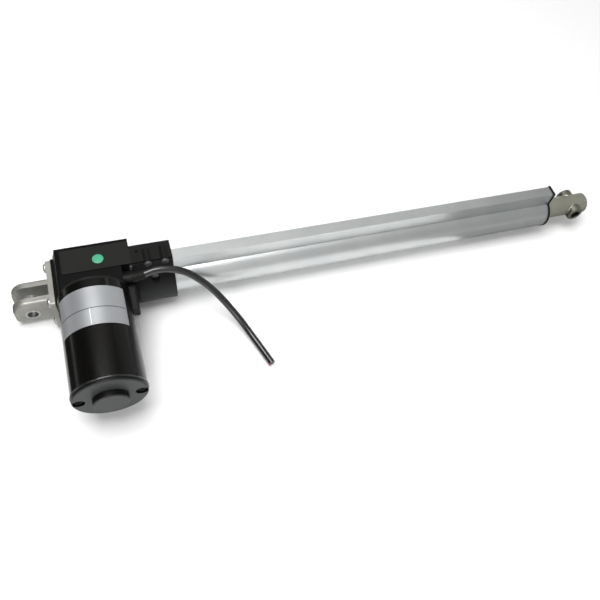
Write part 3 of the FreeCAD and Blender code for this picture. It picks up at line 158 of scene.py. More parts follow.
@dataclass(frozen=True)
class Finish:
    """A surface with one colour, a little uneven in gloss, with an optional fine bump.

    Attributes:
        name: The material's name, for what it is and how it was made.
        colour: sRGB hex of the base.
        second: sRGB hex that the colour drifts to in soft clouds.
        roughness: Mean roughness.
        spread: How far the roughness drifts either way.
        metallic: 1 for bare metal, 0 for paint and plastic.
        ior: Index of refraction of paint and plastic.
        shine: How strongly paint and plastic mirror, 0.5 as the index gives it.
        grain_mm: Size of the surface's grain.
        bump_mm: Height of the grain.
        stretch: How much longer the grain is along X, Y and Z.
        drift: The clouds' values between which the colour goes over to the second.
    """

    name: str
    colour: str
    second: str
    roughness: float
    spread: float = 0.04
    metallic: float = 0.0
    ior: float = 1.5
    shine: float = 0.5
    grain_mm: float = 1.0
    bump_mm: float = 0.0
    stretch: Point = (1.0, 1.0, 1.0)
    drift: ClassVar[Pair] = (0.35, 0.65)

    def build(self) -> bpy.types.Material:
        """Makes the material.

        Returns:
            The material, or the one made before under this name.
        """
        known = bpy.data.materials.get(self.name)
        if known:
            return known
        material = bpy.data.materials.new(self.name)
        tree = bare_tree(material)
        place = add_node(tree, "TexCoord").outputs["Object"]
        scale = tuple(1 / (MM * self.grain_mm * s) for s in self.stretch)
        laid = add_node(tree, "Mapping", values={"Scale": scale}, links={"Vector": place})
        grain = add_node(
            tree, "TexNoise", values={"Scale": 1.0, "Detail": 3.0}, links={"Vector": laid.outputs[0]},
        ).outputs["Fac"]
        cloud = add_node(
            tree, "TexNoise", values={"Scale": 1 / (MM * CLOUD_MM), "Detail": 2.0}, links={"Vector": place},
        ).outputs["Fac"]
        surface = Surface(tree, place, cloud, grain)
        span = {
            "From Min": NOISE_SPAN[0],
            "From Max": NOISE_SPAN[1],
            "To Min": max(self.roughness - self.spread, LEAST_ROUGHNESS),
            "To Max": self.roughness + self.spread,
        }
        rough = add_node(tree, "MapRange", values=span, links={"Value": grain})
        values = {"Metallic": self.metallic}
        links = {"Roughness": rough.outputs[0]}
        if self.metallic < 1:
            values |= {"IOR": self.ior, "Specular IOR Level": self.shine}
        if self.colour == self.second:
            values["Base Color"] = srgb(self.colour)
        else:
            links["Base Color"] = self.pigment(surface)
        if self.bump_mm:
            links["Normal"] = add_node(
                tree, "Bump", values={"Strength": 1.0, "Distance": MM * self.bump_mm},
                links={"Height": self.relief(surface)},
            ).outputs[0]
        shader = add_node(tree, "BsdfPrincipled", values=values, links=links)
        add_node(tree, "OutputMaterial", links={"Surface": shader.outputs[0]})
        return material

    def pigment(self, surface: Surface) -> Socket:
        """The colour, which drifts between the finish's two in soft clouds.

        Args:
            surface: What it is drawn from.

        Returns:
            The socket with the colour.
        """
        node = add_node(surface.tree, "ValToRGB", links={"Fac": surface.cloud})
        for stop, position, shade in zip(node.color_ramp.elements, self.drift, (self.colour, self.second)):
            stop.position = position
            stop.color = srgb(shade)
        return node.outputs["Color"]

    def relief(self, surface: Surface) -> Socket:
        """The height that the bump follows, here the grain itself."""
        return surface.grain


@dataclass(frozen=True)
class PittedCasting(Finish):
    """A blasted zinc-plated casting: fine grain with sparse small pits, pit_mm apart."""

    pit_mm: float = 2.6
    pit_edge: Pair = (0.08, 0.22)

    def relief(self, surface: Surface) -> Socket:
        """Adds the pits to the grain.

        Args:
            surface: What it is drawn from.

        Returns:
            The socket with the height.
        """
        cells = add_node(
            surface.tree, "TexVoronoi",
            values={"Scale": 1 / (MM * self.pit_mm), "Randomness": 1.0}, links={"Vector": surface.place},
        ).outputs["Distance"]
        floor, rim = self.pit_edge
        pits = add_node(
            surface.tree, "MapRange", links={"Value": cells},
            values={"From Min": floor, "From Max": rim, "To Min": -1.0, "To Max": 0.0},
        ).outputs[0]
        both = add_node(surface.tree, "Math", {"operation": "ADD"}, links={0: surface.grain, 1: pits})
        return both.outputs[0]


@dataclass(frozen=True)
class MouldedShell(Finish):
    """A moulded skin, lighter on its top panel, with painted shade round that panel and at the rear end, and
    a painted sheen on the lower part of the round flank that holds the tube.

    Attributes:
        painted_border_shade: sRGB hex of the painted shade on the lowered band round the top panel and on the
            sloped rear end.
        painted_clamp_sheen: sRGB hex of the painted sheen on the round flank that holds the tube.
        painted_rear_shade_mm: Stations along X between which the painted shade of the rear end fades in.
        painted_clamp_sheen_mm: Heights between which the painted sheen on the round flank fades in.
    """

    panel: str = "1f1f1d"
    painted_border_shade: str = "040404"
    painted_clamp_sheen: str = "2e302f"
    panel_top_mm: float = 44.93
    border_foot_mm: float = 43.5
    panel_end_mm: float = 95.5
    clamp_start_mm: float = 98.5
    edge_mm: float = 0.1
    painted_rear_shade_mm: Pair = (36.0, 29.0)
    painted_clamp_sheen_mm: Pair = (26.0, 14.0)
    drift: ClassVar[Pair] = (0.0, 1.0)

    def pigment(self, surface: Surface) -> Socket:
        """Lays the painted shade round the panel, the lighter panel, the painted shade at the rear end and
        the painted sheen on the round flank over the base colour.

        Args:
            surface: What it is drawn from.

        Returns:
            The socket with the colour.
        """
        block = ("X", self.panel_end_mm + self.edge_mm, self.panel_end_mm)
        painted_clamp_sheen = ("X", self.clamp_start_mm, self.clamp_start_mm + self.edge_mm)
        # Painted shade round the panel, the lighter panel, painted shade at the rear end and a painted sheen
        # on the round flank.
        zones = (
            (self.painted_border_shade, block, ("Z", self.border_foot_mm, self.border_foot_mm + self.edge_mm)),
            (self.panel, block, ("Z", self.panel_top_mm - self.edge_mm / 2, self.panel_top_mm)),
            (self.painted_border_shade, ("X", *self.painted_rear_shade_mm)),
            (self.painted_clamp_sheen, painted_clamp_sheen, ("Z", *self.painted_clamp_sheen_mm)),
        )
        parts = add_node(surface.tree, "SeparateXYZ", links={0: surface.place})
        colour = super().pigment(surface)
        for shade, *gates in zones:
            share = {}
            for axis, first, last in gates:
                gate = add_node(
                    surface.tree, "MapRange",
                    values={"From Min": first * MM, "From Max": last * MM},
                    links={"Value": parts.outputs[axis], **share},
                )
                share = {"To Max": gate.outputs[0]}
            colour = add_node(
                surface.tree, "Mix", {"data_type": "RGBA"}, {7: srgb(shade)},
                {"Factor": gate.outputs[0], 6: colour},
            ).outputs[2]
        return colour


@dataclass(frozen=True)
class PaintedReflectionCasting(Finish):
    """A casting with a painted grey reflection on its end faces, and black where its normal's Y is over what
    facing gives.
    """

    side: str = "0b0b0a"
    facing: Pair = (-0.8, -0.5)
    drift: ClassVar[Pair] = (0.0, 1.0)

    def pigment(self, surface: Surface) -> Socket:
        """Paints black what does not face along the motor's axis; the faces that do keep the painted grey
        reflection.

        Args:
            surface: What it is drawn from.

        Returns:
            The socket with the colour.
        """
        normal = add_node(surface.tree, "TexCoord").outputs["Normal"]
        parts = add_node(surface.tree, "SeparateXYZ", links={0: normal})
        side = add_node(
            surface.tree, "MapRange", links={"Value": parts.outputs["Y"]},
            values={"From Min": self.facing[0], "From Max": self.facing[1]},
        ).outputs[0]
        return add_node(
            surface.tree, "Mix", {"data_type": "RGBA"}, {7: srgb(self.side)},
            {"Factor": side, 6: super().pigment(surface)},
        ).outputs[2]


@dataclass(frozen=True)
class CircuitLaminate(Finish):
    """Green circuit board with copper tracks, where a wave of track_mm is over track_from."""

    track_mm: float = 4.7374
    track_from: float = 0.72

    def pigment(self, surface: Surface) -> Socket:
        """Lays straight tracks along the board.

        Args:
            surface: What it is drawn from.

        Returns:
            The socket with the colour.
        """
        waves = add_node(
            surface.tree, "TexWave", {"bands_direction": "Z"},
            {"Scale": tau / (MM * self.track_mm * WAVE_TURN)}, {"Vector": surface.place},
        ).outputs["Fac"]
        node = add_node(surface.tree, "ValToRGB", links={"Fac": waves})
        node.color_ramp.interpolation = "CONSTANT"
        board, track = node.color_ramp.elements
        board.color = srgb(self.colour)
        track.position = self.track_from
        track.color = srgb(self.second)
        return node.outputs["Color"]


# ABS moulded in a spark-eroded tool: a dull black skin with a fine even grain, lighter on its panel, with
# painted shade round the panel and at the rear end and a painted sheen on the round flank that holds the
# tube.
HOUSING_ABS = MouldedShell(
    "moulded_black_abs", "141413", "181817", 0.44, 0.06, shine=0.10, grain_mm=0.45, bump_mm=0.05,
)
# Extruded tube, etched and clear anodised: a soft silver with faint lines along the die's way.
TUBE_ANODISED = Finish(
    "anodised_extruded_aluminium", "c4c7c7", "cbcdcc", 0.36, 0.03, metallic=1.0,
    grain_mm=0.35, bump_mm=0.003, stretch=(60.0, 1.0, 1.0),
)
# Zinc-plated blasted casting of the clevis: warm light grey and nearly dull, with small pits.
CLEVIS_CASTING = PittedCasting(
    "plated_clevis_casting", "9b9a95", "86857f", 0.44, 0.07, metallic=0.7, grain_mm=0.7, bump_mm=0.12,
)
# Nickel-plated steel rod, ground along its turning: grey with a faint green.
ROD_STEEL = Finish(
    "ground_steel_rod", "b6b6a8", "aaaa9c", 0.42, 0.05, metallic=1.0,
    grain_mm=0.3, bump_mm=0.002, stretch=(0.5, 8.0, 8.0),
)
# The cross bush, turned from a darker steel and left bare.
BUSH_STEEL = Finish(
    "turned_steel_bush", "84857a", "77786d", 0.34, 0.05, metallic=1.0, grain_mm=0.4, bump_mm=0.004,
)
# Gloss black baked enamel over the drawn can: deep, with soft tall reflections.
CAN_ENAMEL = Finish(
    "gloss_black_enamel", "080807", "0b0a08", 0.20, 0.04, shine=0.22, grain_mm=2.5, bump_mm=0.004,
)
# The same enamel where the can's edge is rolled over the cap: drawn thin and shinier.
RIM_ENAMEL = Finish("enamel_over_rolled_rim", "0a0a09", "0d0c0b", 0.16, 0.03, shine=0.8)
# Die-cast end cap under a thin dull coat: black on its sides, with a painted grey reflection on its faces.
CAP_CASTING = PaintedReflectionCasting(
    "die_cast_cap_painted_grey_reflection", "3a3c3c", "404242", 0.44, 0.05, shine=0.17, grain_mm=0.6, bump_mm=0.03,
)
# Moulded nylon of the tube's cap, the covers, the gland, its sleeve and the switches: dull, like rubber.
CAP_NYLON = Finish("moulded_black_nylon", "131312", "181817", 0.52, shine=0.2, grain_mm=0.5, bump_mm=0.03)
# Soft rubber lip that wipes the rod.
WIPER_RUBBER = Finish("moulded_wiper_rubber", "141414", "191919", 0.7, ior=1.52, grain_mm=0.4, bump_mm=0.02)
# Acetal, bare white: waxy and a little cream.
ACETAL = Finish("moulded_white_acetal", "e4e0d3", "dcd8ca", 0.42, ior=1.48, grain_mm=0.8, bump_mm=0.01)
# Bright zinc-plated screws, pins and rings.
ZINC_STEEL = Finish(
    "zinc_plated_steel", "b2b4b3", "a6a8a7", 0.34, 0.05, metallic=1.0, grain_mm=0.4, bump_mm=0.004,
)
# Chemically blackened screws: near black with a dull metal glint.
BLACK_OXIDE = Finish(
    "black_oxide_steel", "111112", "161617", 0.42, 0.05, metallic=0.2, shine=0.2,
    grain_mm=0.4, bump_mm=0.004,
)
# Phosphated long bolts of the motor: dull and nearly black, so that they sink into their pockets.
BOLT_PHOSPHATE = Finish(
    "phosphated_bolt_steel", "0e0e0f", "131314", 0.55, 0.05, shine=0.07, grain_mm=0.4, bump_mm=0.004,
)
# Sintered bronze bushes, oiled: a dull yellow brown.
SINTERED_BRONZE = Finish(
    "sintered_bronze", "b08a52", "a27d49", 0.42, metallic=1.0, grain_mm=0.3, bump_mm=0.02,
)
# Rolled thread of the lead screw: smooth grey steel under a film of grease.
SCREW_STEEL = Finish(
    "rolled_thread_steel", "a9aaa8", "9fa09e", 0.25, metallic=1.0, grain_mm=0.5, bump_mm=0.004,
)
# Hardened and polished bearing steel: bright, with sharp reflections.
BEARING_STEEL = Finish("polished_bearing_steel", "cfd1d4", "c6c8cb", 0.14, metallic=1.0)
# Stacked laminations of the armature: thin lines 0.5 mm apart would blur, so the grain is coarse.
LAMINATION_STEEL = Finish(
    "laminated_silicon_steel", "83868a", "6d7074", 0.4, metallic=1.0,
    grain_mm=0.9, bump_mm=0.05, stretch=(30.0, 1.0, 30.0),
)
# Enamelled copper wire of the windings, wound over itself: red brown and lively.
WINDING_COPPER = Finish(
    "enamelled_copper_wire", "9a4a22", "ab5a2c", 0.3, metallic=0.9, grain_mm=0.8, bump_mm=0.2,
)
# Turned copper bars of the commutator, darkened by the brushes.
COMMUTATOR_COPPER = Finish("turned_copper_bars", "b8764a", "8a5c40", 0.32, metallic=1.0, grain_mm=0.6)
# Sintered ferrite magnets: charcoal and dull.
FERRITE = Finish("sintered_ferrite", "303134", "38393c", 0.6, grain_mm=0.6, bump_mm=0.02)
# Brown paper laminate of the brush plate: dull, with a faint weave.
BROWN_LAMINATE = Finish("pressed_brown_laminate", "6d4826", "7a5230", 0.5, grain_mm=0.9, bump_mm=0.01)
# Pressed carbon brushes: near black with a faint grey sheen.
CARBON = Finish("pressed_carbon", "26262a", "2e2e32", 0.5, metallic=0.2, grain_mm=0.3)
# Glass-fibre board of the limit switches: green lacquer over copper tracks.
BOARD_LAMINATE = CircuitLaminate("etched_circuit_board", "1f6b3a", "b98a45", 0.35)
# Glossy black flexible PVC of the cord's jacket.
CORD_PVC = Finish(
    "extruded_black_pvc", "101011", "151516", 0.22, 0.04, shine=0.7, grain_mm=1.5, bump_mm=0.004,
)
# Aluminised label film: satin silver with a faint brushing round the can.
LABEL_FILM = Finish(
    "brushed_silver_label", "abadaf", "a4a6a9", 0.42, metallic=0.6,
    grain_mm=0.35, bump_mm=0.002, stretch=(1.0, 40.0, 1.0),
)
# Ink of the label's rule: flat dark grey.
LABEL_INK = Finish("printed_dark_ink", "222326", "222326", 0.5)
# A painted highlight on the label: a thin bright upright line.
LABEL_GLINT = Finish("painted_label_highlight", "f1f3f4", "f1f3f4", 0.3)
# Glossy green paper dot.
STICKER_PAPER = Finish("glossy_green_paper", "3fa07a", "4aa883", 0.35, ior=1.45)
# The two cores' PVC insulation, cut flush: plain colours with a slight shine.
WIRE_RED = Finish("red_pvc_insulation", "a8201c", "b02521", 0.35)
WIRE_BLACK = Finish("black_pvc_insulation", "141414", "181818", 0.35)

FINISHED_NODES: dict[Finish, tuple[str, ...]] = {
    CLEVIS_CASTING: ("rear_clevis",),
    HOUSING_ABS: ("housing_back", "housing_front"),
    TUBE_ANODISED: ("outer_tube",),
    CAP_NYLON: ("front_cap", "switch_cam", "limit_switches", "terminal_cover", "cable_gland"),
    WIPER_RUBBER: ("rod_wiper",),
    ROD_STEEL: ("piston_rod", "rod_end_plug"),
    BUSH_STEEL: ("rod_end_bush",),
    ACETAL: ("guide_bush", "drive_nut", "worm_wheel"),
    ZINC_STEEL: ("pivot_bushes", "nut_pins", "wheel_key", "screw_locknut", "screw_stop"),
    BOARD_LAMINATE: ("switch_board",),
    BEARING_STEEL: ("inner_races", "outer_races"),
    LAMINATION_STEEL: ("armature_core",),
    WINDING_COPPER: ("armature_windings",),
    COMMUTATOR_COPPER: ("commutator",),
    CAN_ENAMEL: ("motor_can",),
    CAP_CASTING: ("motor_end_cap",),
    SINTERED_BRONZE: ("motor_bush", "worm_bushes"),
    FERRITE: ("motor_magnets",),
    BROWN_LAMINATE: ("brush_plate",),
    CARBON: ("brushes",),
}


def middle_of(node: str) -> Vector:
    """The centre of a CAD node's box."""
    low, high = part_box(node)
    return (low + high) / 2


def show(piece: Piece) -> Piece:
    """Puts a piece in the scene and returns it."""
    bpy.context.scene.collection.objects.link(piece)
    return piece


def named(name: str) -> Piece:
    """Gives the piece that an operator has just made its name, and returns it."""
    piece = bpy.context.object
    piece.name = piece.data.name = name
    return piece


def enter(mode: str) -> None:
    """Changes the active piece's mode."""
    bpy.ops.object.mode_set(mode=mode)


def deselect() -> None:
    """Goes to object mode with nothing selected."""
    if bpy.context.object and bpy.context.object.mode != "OBJECT":
        enter("OBJECT")
    bpy.ops.object.select_all(action="DESELECT")


def activate(piece: Piece) -> None:
    """Makes a piece the active and only selected one."""
    deselect()
    piece.select_set(True)
    bpy.context.view_layer.objects.active = piece


def apply_modifier(piece: Piece, kind: str, **settings) -> None:
    """Adds a modifier and applies it.

    Args:
        piece: The object.
        kind: The modifier's type.
        **settings: Its attributes.
    """
    activate(piece)
    modifier = piece.modifiers.new(kind.title(), kind)
    for key, value in settings.items():
        setattr(modifier, key, value)
    bpy.ops.object.modifier_apply(modifier=modifier.name)


def bevel_edges(piece: Piece, width_mm: float) -> None:
    """Rounds every sharp edge of a piece."""
    apply_modifier(
        piece, "BEVEL", width=width_mm * MM, segments=2, limit_method="ANGLE",
        angle_limit=radians(BEVEL_DEG), harden_normals=False,
    )


def pick_faces(piece: Piece, wanted: Callable[[bpy.types.MeshPolygon], bool]) -> None:
    """Enters edit mode with only the wanted faces selected.

    Args:
        piece: The object.
        wanted: Takes a face and says whether it is selected.
    """
    activate(piece)
    enter("EDIT")
    bpy.ops.mesh.select_mode(type="FACE")
    bpy.ops.mesh.select_all(action="DESELECT")
    enter("OBJECT")
    for face in piece.data.polygons:
        face.select = wanted(face)
    enter("EDIT")


def settle(piece: Piece, place: Matrix = Matrix.Identity(4)) -> None:
    """Puts a piece at its place, with the place in its mesh and its faces outward.

    Args:
        piece: The object.
        place: Where it goes in the frame.
    """
    deselect()
    bpy.context.view_layer.update()
    piece.data.transform(place @ piece.matrix_world)
    piece.matrix_world = Matrix.Identity(4)
    activate(piece)
    enter("EDIT")
    bpy.ops.mesh.select_all(action="SELECT")
    bpy.ops.mesh.remove_doubles(threshold=SAME_POINT_M)
    bpy.ops.mesh.normals_make_consistent(inside=False)
    enter("OBJECT")


def dress(piece: Piece, finish: Finish, body: Body, node: str | None = None) -> None:
    """Gives a finished piece its shading, material and body.

    Args:
        piece: The object.
        finish: Its surface.
        body: What it rides on.
        node: The CAD node that it stands for.
    """
    if piece.type == "MESH":
        activate(piece)
        bpy.ops.object.shade_smooth_by_angle(angle=radians(SMOOTH_DEG))
    piece.data.materials.clear()
    piece.data.materials.append(finish.build())
    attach(piece, body.value)
    if node:
        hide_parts(node)
    LOG.info("piece %s rides on %s", piece.name, body.value)


def copy_piece(source: Piece, place: Matrix) -> Piece:
    """Copies a piece with its own mesh.

    Args:
        source: The object to copy.
        place: A turn and move of the copied mesh.

    Returns:
        The copy.
    """
    piece = source.copy()
    piece.data = source.data.copy()
    piece.data.transform(place)
    return show(piece)


def join(pieces: list[Piece], name: str) -> Piece:
    """Joins pieces into one object.

    Args:
        pieces: The objects.
        name: The joined object's name.

    Returns:
        The joined object.
    """
    deselect()
    for piece in pieces:
        piece.select_set(True)
    bpy.context.view_layer.objects.active = pieces[0]
    bpy.ops.object.join()
    return named(name)


def wind_outline(name: str, outline: Sequence[Pair], steps: int, closed: bool = False, **settings) -> Piece:
    """Winds an outline about Z with a Screw modifier.

    Args:
        name: The piece's name.
        outline: (radius, height) pairs in millimetres.
        steps: Faces round one turn.
        closed: Whether the outline closes on itself; an open one starts and ends on the axis.
        **settings: More attributes of the modifier.

    Returns:
        The wound piece, standing along Z.
    """
    deselect()
    edges = [(i, i + 1) for i in range(len(outline) - 1)]
    if closed:
        edges.append((len(outline) - 1, 0))
    mesh = bpy.data.meshes.new(name)
    mesh.from_pydata([(radius * MM, 0, height * MM) for radius, height in outline], edges, [])
    piece = show(bpy.data.objects.new(name, mesh))
    apply_modifier(
        piece, "SCREW", axis="Z", angle=tau, steps=steps, render_steps=steps,
        use_merge_vertices=not closed, merge_threshold=SAME_POINT_M, **settings,
    )
    return piece


def add_curve(
    name: str, kind: str, points: Sequence[Sequence[float]], radius_mm: float, rings: int
) -> Piece:
    """Adds a round bar along points.

    Args:
        name: The piece's name.
        kind: The spline's type.
        points: Its points in millimetres.
        radius_mm: Radius of the bar.
        rings: How finely it is rounded.

    Returns:
        The curve's object.
    """
    curve = bpy.data.curves.new(name, "CURVE")
    curve.dimensions = "3D"
    curve.bevel_depth = radius_mm * MM
    curve.bevel_resolution = rings
    curve.use_fill_caps = True
    spline = curve.splines.new(kind)
    spline.points.add(len(points) - 1)
    for point, place in zip(spline.points, points):
        point.co = (*(v * MM for v in place), 1)
    return show(bpy.data.objects.new(name, curve))


def make_mesh(piece: Piece) -> Piece:
    """Turns a curve into a mesh and settles it."""
    activate(piece)
    bpy.ops.object.convert(target="MESH")
    settle(bpy.context.object)
    return bpy.context.object


@dataclass
class ScrewSet:
    """The screws of one CAD node, with domed heads and cross recesses.

    A screw of each length is modelled once and copied to the places of the CAD solids.

    Attributes:
        recess_mm: Reach of the cross from the middle.
        slot_mm: Width of the cross's arms.
        turns_deg: How far the first screw is turned in, and how much further each next one.
        dome_foot: Height at which the dome starts, as a share of the head's.
        fullness: Below 1 the dome is fuller than a round one.
        rim: Radius under the head and height of its edge, as shares of the head's.
        tip: Radius of the shank's tip as a share of the shank's, and its length in millimetres.
        cut: Depth of the cross as a share of the head's height, and its floor's as one of its mouth.
    """

    node: str
    facing: Facing
    finish: Finish
    slot: str
    head_mm: float
    height_mm: float
    shank_mm: float
    recess_mm: float
    slot_mm: float
    turns_deg: Pair
    dome_deg: tuple[int, ...] = (8, 24, 42, 60, 76)
    dome_foot: float = 0.35
    fullness: float = 0.8
    rim: Pair = (0.97, 0.12)
    tip: Pair = (0.7, 1.0)
    cut: Pair = (0.75, 0.45)
    steps: int = 36

    def build(self) -> None:
        """Makes the screws and puts them on the frame."""
        along = self.facing.value[2]
        masters: dict[float, Piece] = {}
        copies = []
        for number, (low, high) in enumerate(self.seats()):
            length = round((high - low)[along] / MM - self.height_mm, 3)
            if length not in masters:
                masters[length] = self.make_screw(length)
            seat = (low + high) / 2
            seat[along] = low[along] + self.height_mm * MM
            spin = Matrix.Rotation(radians(self.turns_deg[0] + self.turns_deg[1] * number), 4, "Z")
            copies.append(copy_piece(masters[length], Matrix.Translation(seat) @ self.facing.turn() @ spin))
        for master in masters.values():
            bpy.data.objects.remove(master)
        dress(join(copies, f"{self.node}_dressed"), self.finish, Body.FRAME, self.node)

    def seats(self) -> list[tuple[Vector, Vector]]:
        """Finds the box of each solid of the node.

        Returns:
            The lowest and highest corner of each loose part of its mesh.
        """
        mesh = bmesh.new()
        mesh.from_mesh(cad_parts[self.node].data)
        bmesh.ops.remove_doubles(mesh, verts=mesh.verts, dist=SAME_POINT_M)
        left = set(mesh.verts)
        boxes = []
        while left:
            stack = [left.pop()]
            found = []
            while stack:
                vert = stack.pop()
                found.append(vert.co.copy())
                near = {edge.other_vert(vert) for edge in vert.link_edges} & left
                left -= near
                stack += near
            low, high = (Vector([pick(p[i] for p in found) for i in range(3)]) for pick in (min, max))
            boxes.append((low, high))
        mesh.free()
        return sorted(boxes, key=lambda box: tuple(round(v, 4) for v in box[0]))

    def make_screw(self, length_mm: float) -> Piece:
        """Makes one screw with its seat at the origin and its head toward +Z.

        Args:
            length_mm: Length of its shank.

        Returns:
            The screw.
        """
        head, height, shank, foot = self.head_mm, self.height_mm, self.shank_mm, -length_mm
        outline = [(0, foot), (shank * self.tip[0], foot), (shank, foot + self.tip[1]), (shank, 0)]
        outline += [(head * self.rim[0], 0), (head, height * self.rim[1])]
        for angle in map(radians, self.dome_deg):
            up = self.dome_foot + (1 - self.dome_foot) * sin(angle)
            outline.append((head * cos(angle) ** self.fullness, height * up))
        screw = wind_outline("screw", [*outline, (0, height)], self.steps)
        settle(screw)
        for turn in (0, 90):
            self.cut_slot(screw, turn)
        return screw

    def cut_slot(self, screw: Piece, turn: float) -> None:
        """Cuts one arm of the cross through the head, narrower toward its floor.

        Args:
            screw: The screw.
            turn: Degrees about the screw's axis.
        """
        depth_share, floor_share = self.cut
        deselect()
        bpy.ops.mesh.primitive_cube_add(
            size=1, location=(0, 0, self.height_mm * MM), rotation=(0, 0, radians(turn)),
            scale=(2 * self.recess_mm * MM, self.slot_mm * MM, 2 * self.height_mm * depth_share * MM),
        )
        cutter = bpy.context.object
        bpy.ops.object.transform_apply(location=False, rotation=True, scale=True)
        pick_faces(cutter, lambda face: face.normal.z < DOWNWARD)
        bpy.ops.transform.resize(value=(floor_share, floor_share, 1))
        enter("OBJECT")
        apply_modifier(screw, "BOOLEAN", operation="DIFFERENCE", solver="EXACT", object=cutter)
        bpy.data.objects.remove(cutter)


@dataclass
class Thread:
    """A helical ridge on a core of its own, sunk a little into it; its widths are shares of the pitch."""

    core_mm: float
    crest_mm: float
    pitch_mm: float
    crest_share: float = 0.36
    foot_share: float = 0.62
    sunk_mm: float = 0.3
    steps: int = 20

    def build(self, name: str, start_mm: float, length_mm: float) -> Piece:
        """Makes the ridge about Z.

        Args:
            name: The piece's name.
            start_mm: Where it starts along the axis.
            length_mm: How far it may run, in whole turns.

        Returns:
            The ridge.
        """
        foot, crest = self.core_mm - self.sunk_mm, self.crest_mm
        wide, narrow = self.pitch_mm * self.foot_share / 2, self.pitch_mm * self.crest_share / 2
        sides = ((foot, -wide), (crest, -narrow), (crest, narrow), (foot, wide))
        ridge = wind_outline(
            name, [(radius, start_mm + wide + side) for radius, side in sides], self.steps, closed=True,
            iterations=int(length_mm / self.pitch_mm), screw_offset=self.pitch_mm * MM,
        )
        enter("EDIT")
        bpy.ops.mesh.select_mode(type="EDGE")
        bpy.ops.mesh.select_all(action="SELECT")
        bpy.ops.mesh.fill_holes(sides=len(sides))
        enter("OBJECT")
        return ridge


@dataclass
class LeadScrew:
    """The lead screw with its rolled trapezoidal thread, in place of the plain CAD solid.

    Attributes:
        journal_mm: Radius of the journal in the bearings.
        stud_mm: Radius of the stud that holds the stop.
        relief_mm: Bare lengths of core before and after the thread.
    """

    thread: Thread
    journal_mm: float = 6.0
    chamfer_mm: float = 0.6
    journal_end_mm: float = 80.3
    stud_mm: float = 4.0
    stud_length_mm: float = 6.0
    relief_mm: Pair = (1.0, 2.0)

    def build(self) -> None:
        """Makes the core and the thread and puts them on the screw body."""
        low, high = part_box("lead_screw")
        start, end = low.x / MM, high.x / MM
        thread_end = end - self.stud_length_mm
        radius, chamfer, shoulder = self.journal_mm, self.chamfer_mm, self.journal_end_mm
        root = self.thread.core_mm
        outline = [
            (0, start), (radius - chamfer, start), (radius, start + chamfer), (radius, shoulder),
            (root, shoulder), (root, thread_end), (self.stud_mm, thread_end), (self.stud_mm, end), (0, end),
        ]
        core = wind_outline("lead_screw_core", outline, steps=40)
        length = thread_end - shoulder - sum(self.relief_mm)
        ridge = self.thread.build("lead_screw_thread", shoulder + self.relief_mm[0], length)
        place = Matrix.Translation((0, 0, (low.z + high.z) / 2)) @ Facing.FRONT.turn()
        for piece, node in ((core, "lead_screw"), (ridge, None)):
            settle(piece, place)
            dress(piece, SCREW_STEEL, Body.SCREW, node)


@dataclass
class MotorAxis:
    """The motor's axis, which the motor's pieces are placed by, and the can's radius and end."""

    x_mm: float
    z_mm: float
    radius_mm: float
    end_mm: float

    @classmethod
    def from_can(cls) -> "MotorAxis":
        """Reads the axis from the can's box."""
        low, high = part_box("motor_can")
        middle = middle_of("motor_can")
        return cls(middle.x / MM, middle.z / MM, (high.x - low.x) / 2 / MM, -low.y / MM)

    def place(self, along_mm: float = 0.0) -> Matrix:
        """Where a piece goes so that its +Z runs down the motor, from a distance down the axis on."""
        spot = Vector((self.x_mm, -along_mm, self.z_mm)) * MM
        return Matrix.Translation(spot) @ Facing.MOTOR.turn()


@dataclass
class WormShaft:
    """The rotor's shaft with its worm thread, in place of the plain CAD solid.

    Attributes:
        worm_half_mm: Half the length of the worm's core, with its middle over the lead screw.
        relief_mm: Bare core at each end of the worm.
    """

    axis: MotorAxis
    thread: Thread
    shaft_mm: float = 4.0
    worm_half_mm: float = 13.0
    relief_mm: float = 1.0

    def build(self) -> None:
        """Makes the shaft and the worm and puts them on the rotor."""
        low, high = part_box("worm_shaft")
        back, tail = -high.y / MM, -low.y / MM
        radius, root, half = self.shaft_mm, self.thread.core_mm, self.worm_half_mm
        outline = [
            (0, back), (radius, back), (radius, -half), (root, -half),
            (root, half), (radius, half), (radius, tail), (0, tail),
        ]
        core = wind_outline("worm_shaft_core", outline, steps=36)
        ridge = self.thread.build("worm_thread", self.relief_mm - half, 2 * (half - self.relief_mm))
        for piece, node in ((core, "worm_shaft"), (ridge, None)):
            settle(piece, self.axis.place())
            dress(piece, BEARING_STEEL, Body.ROTOR, node)


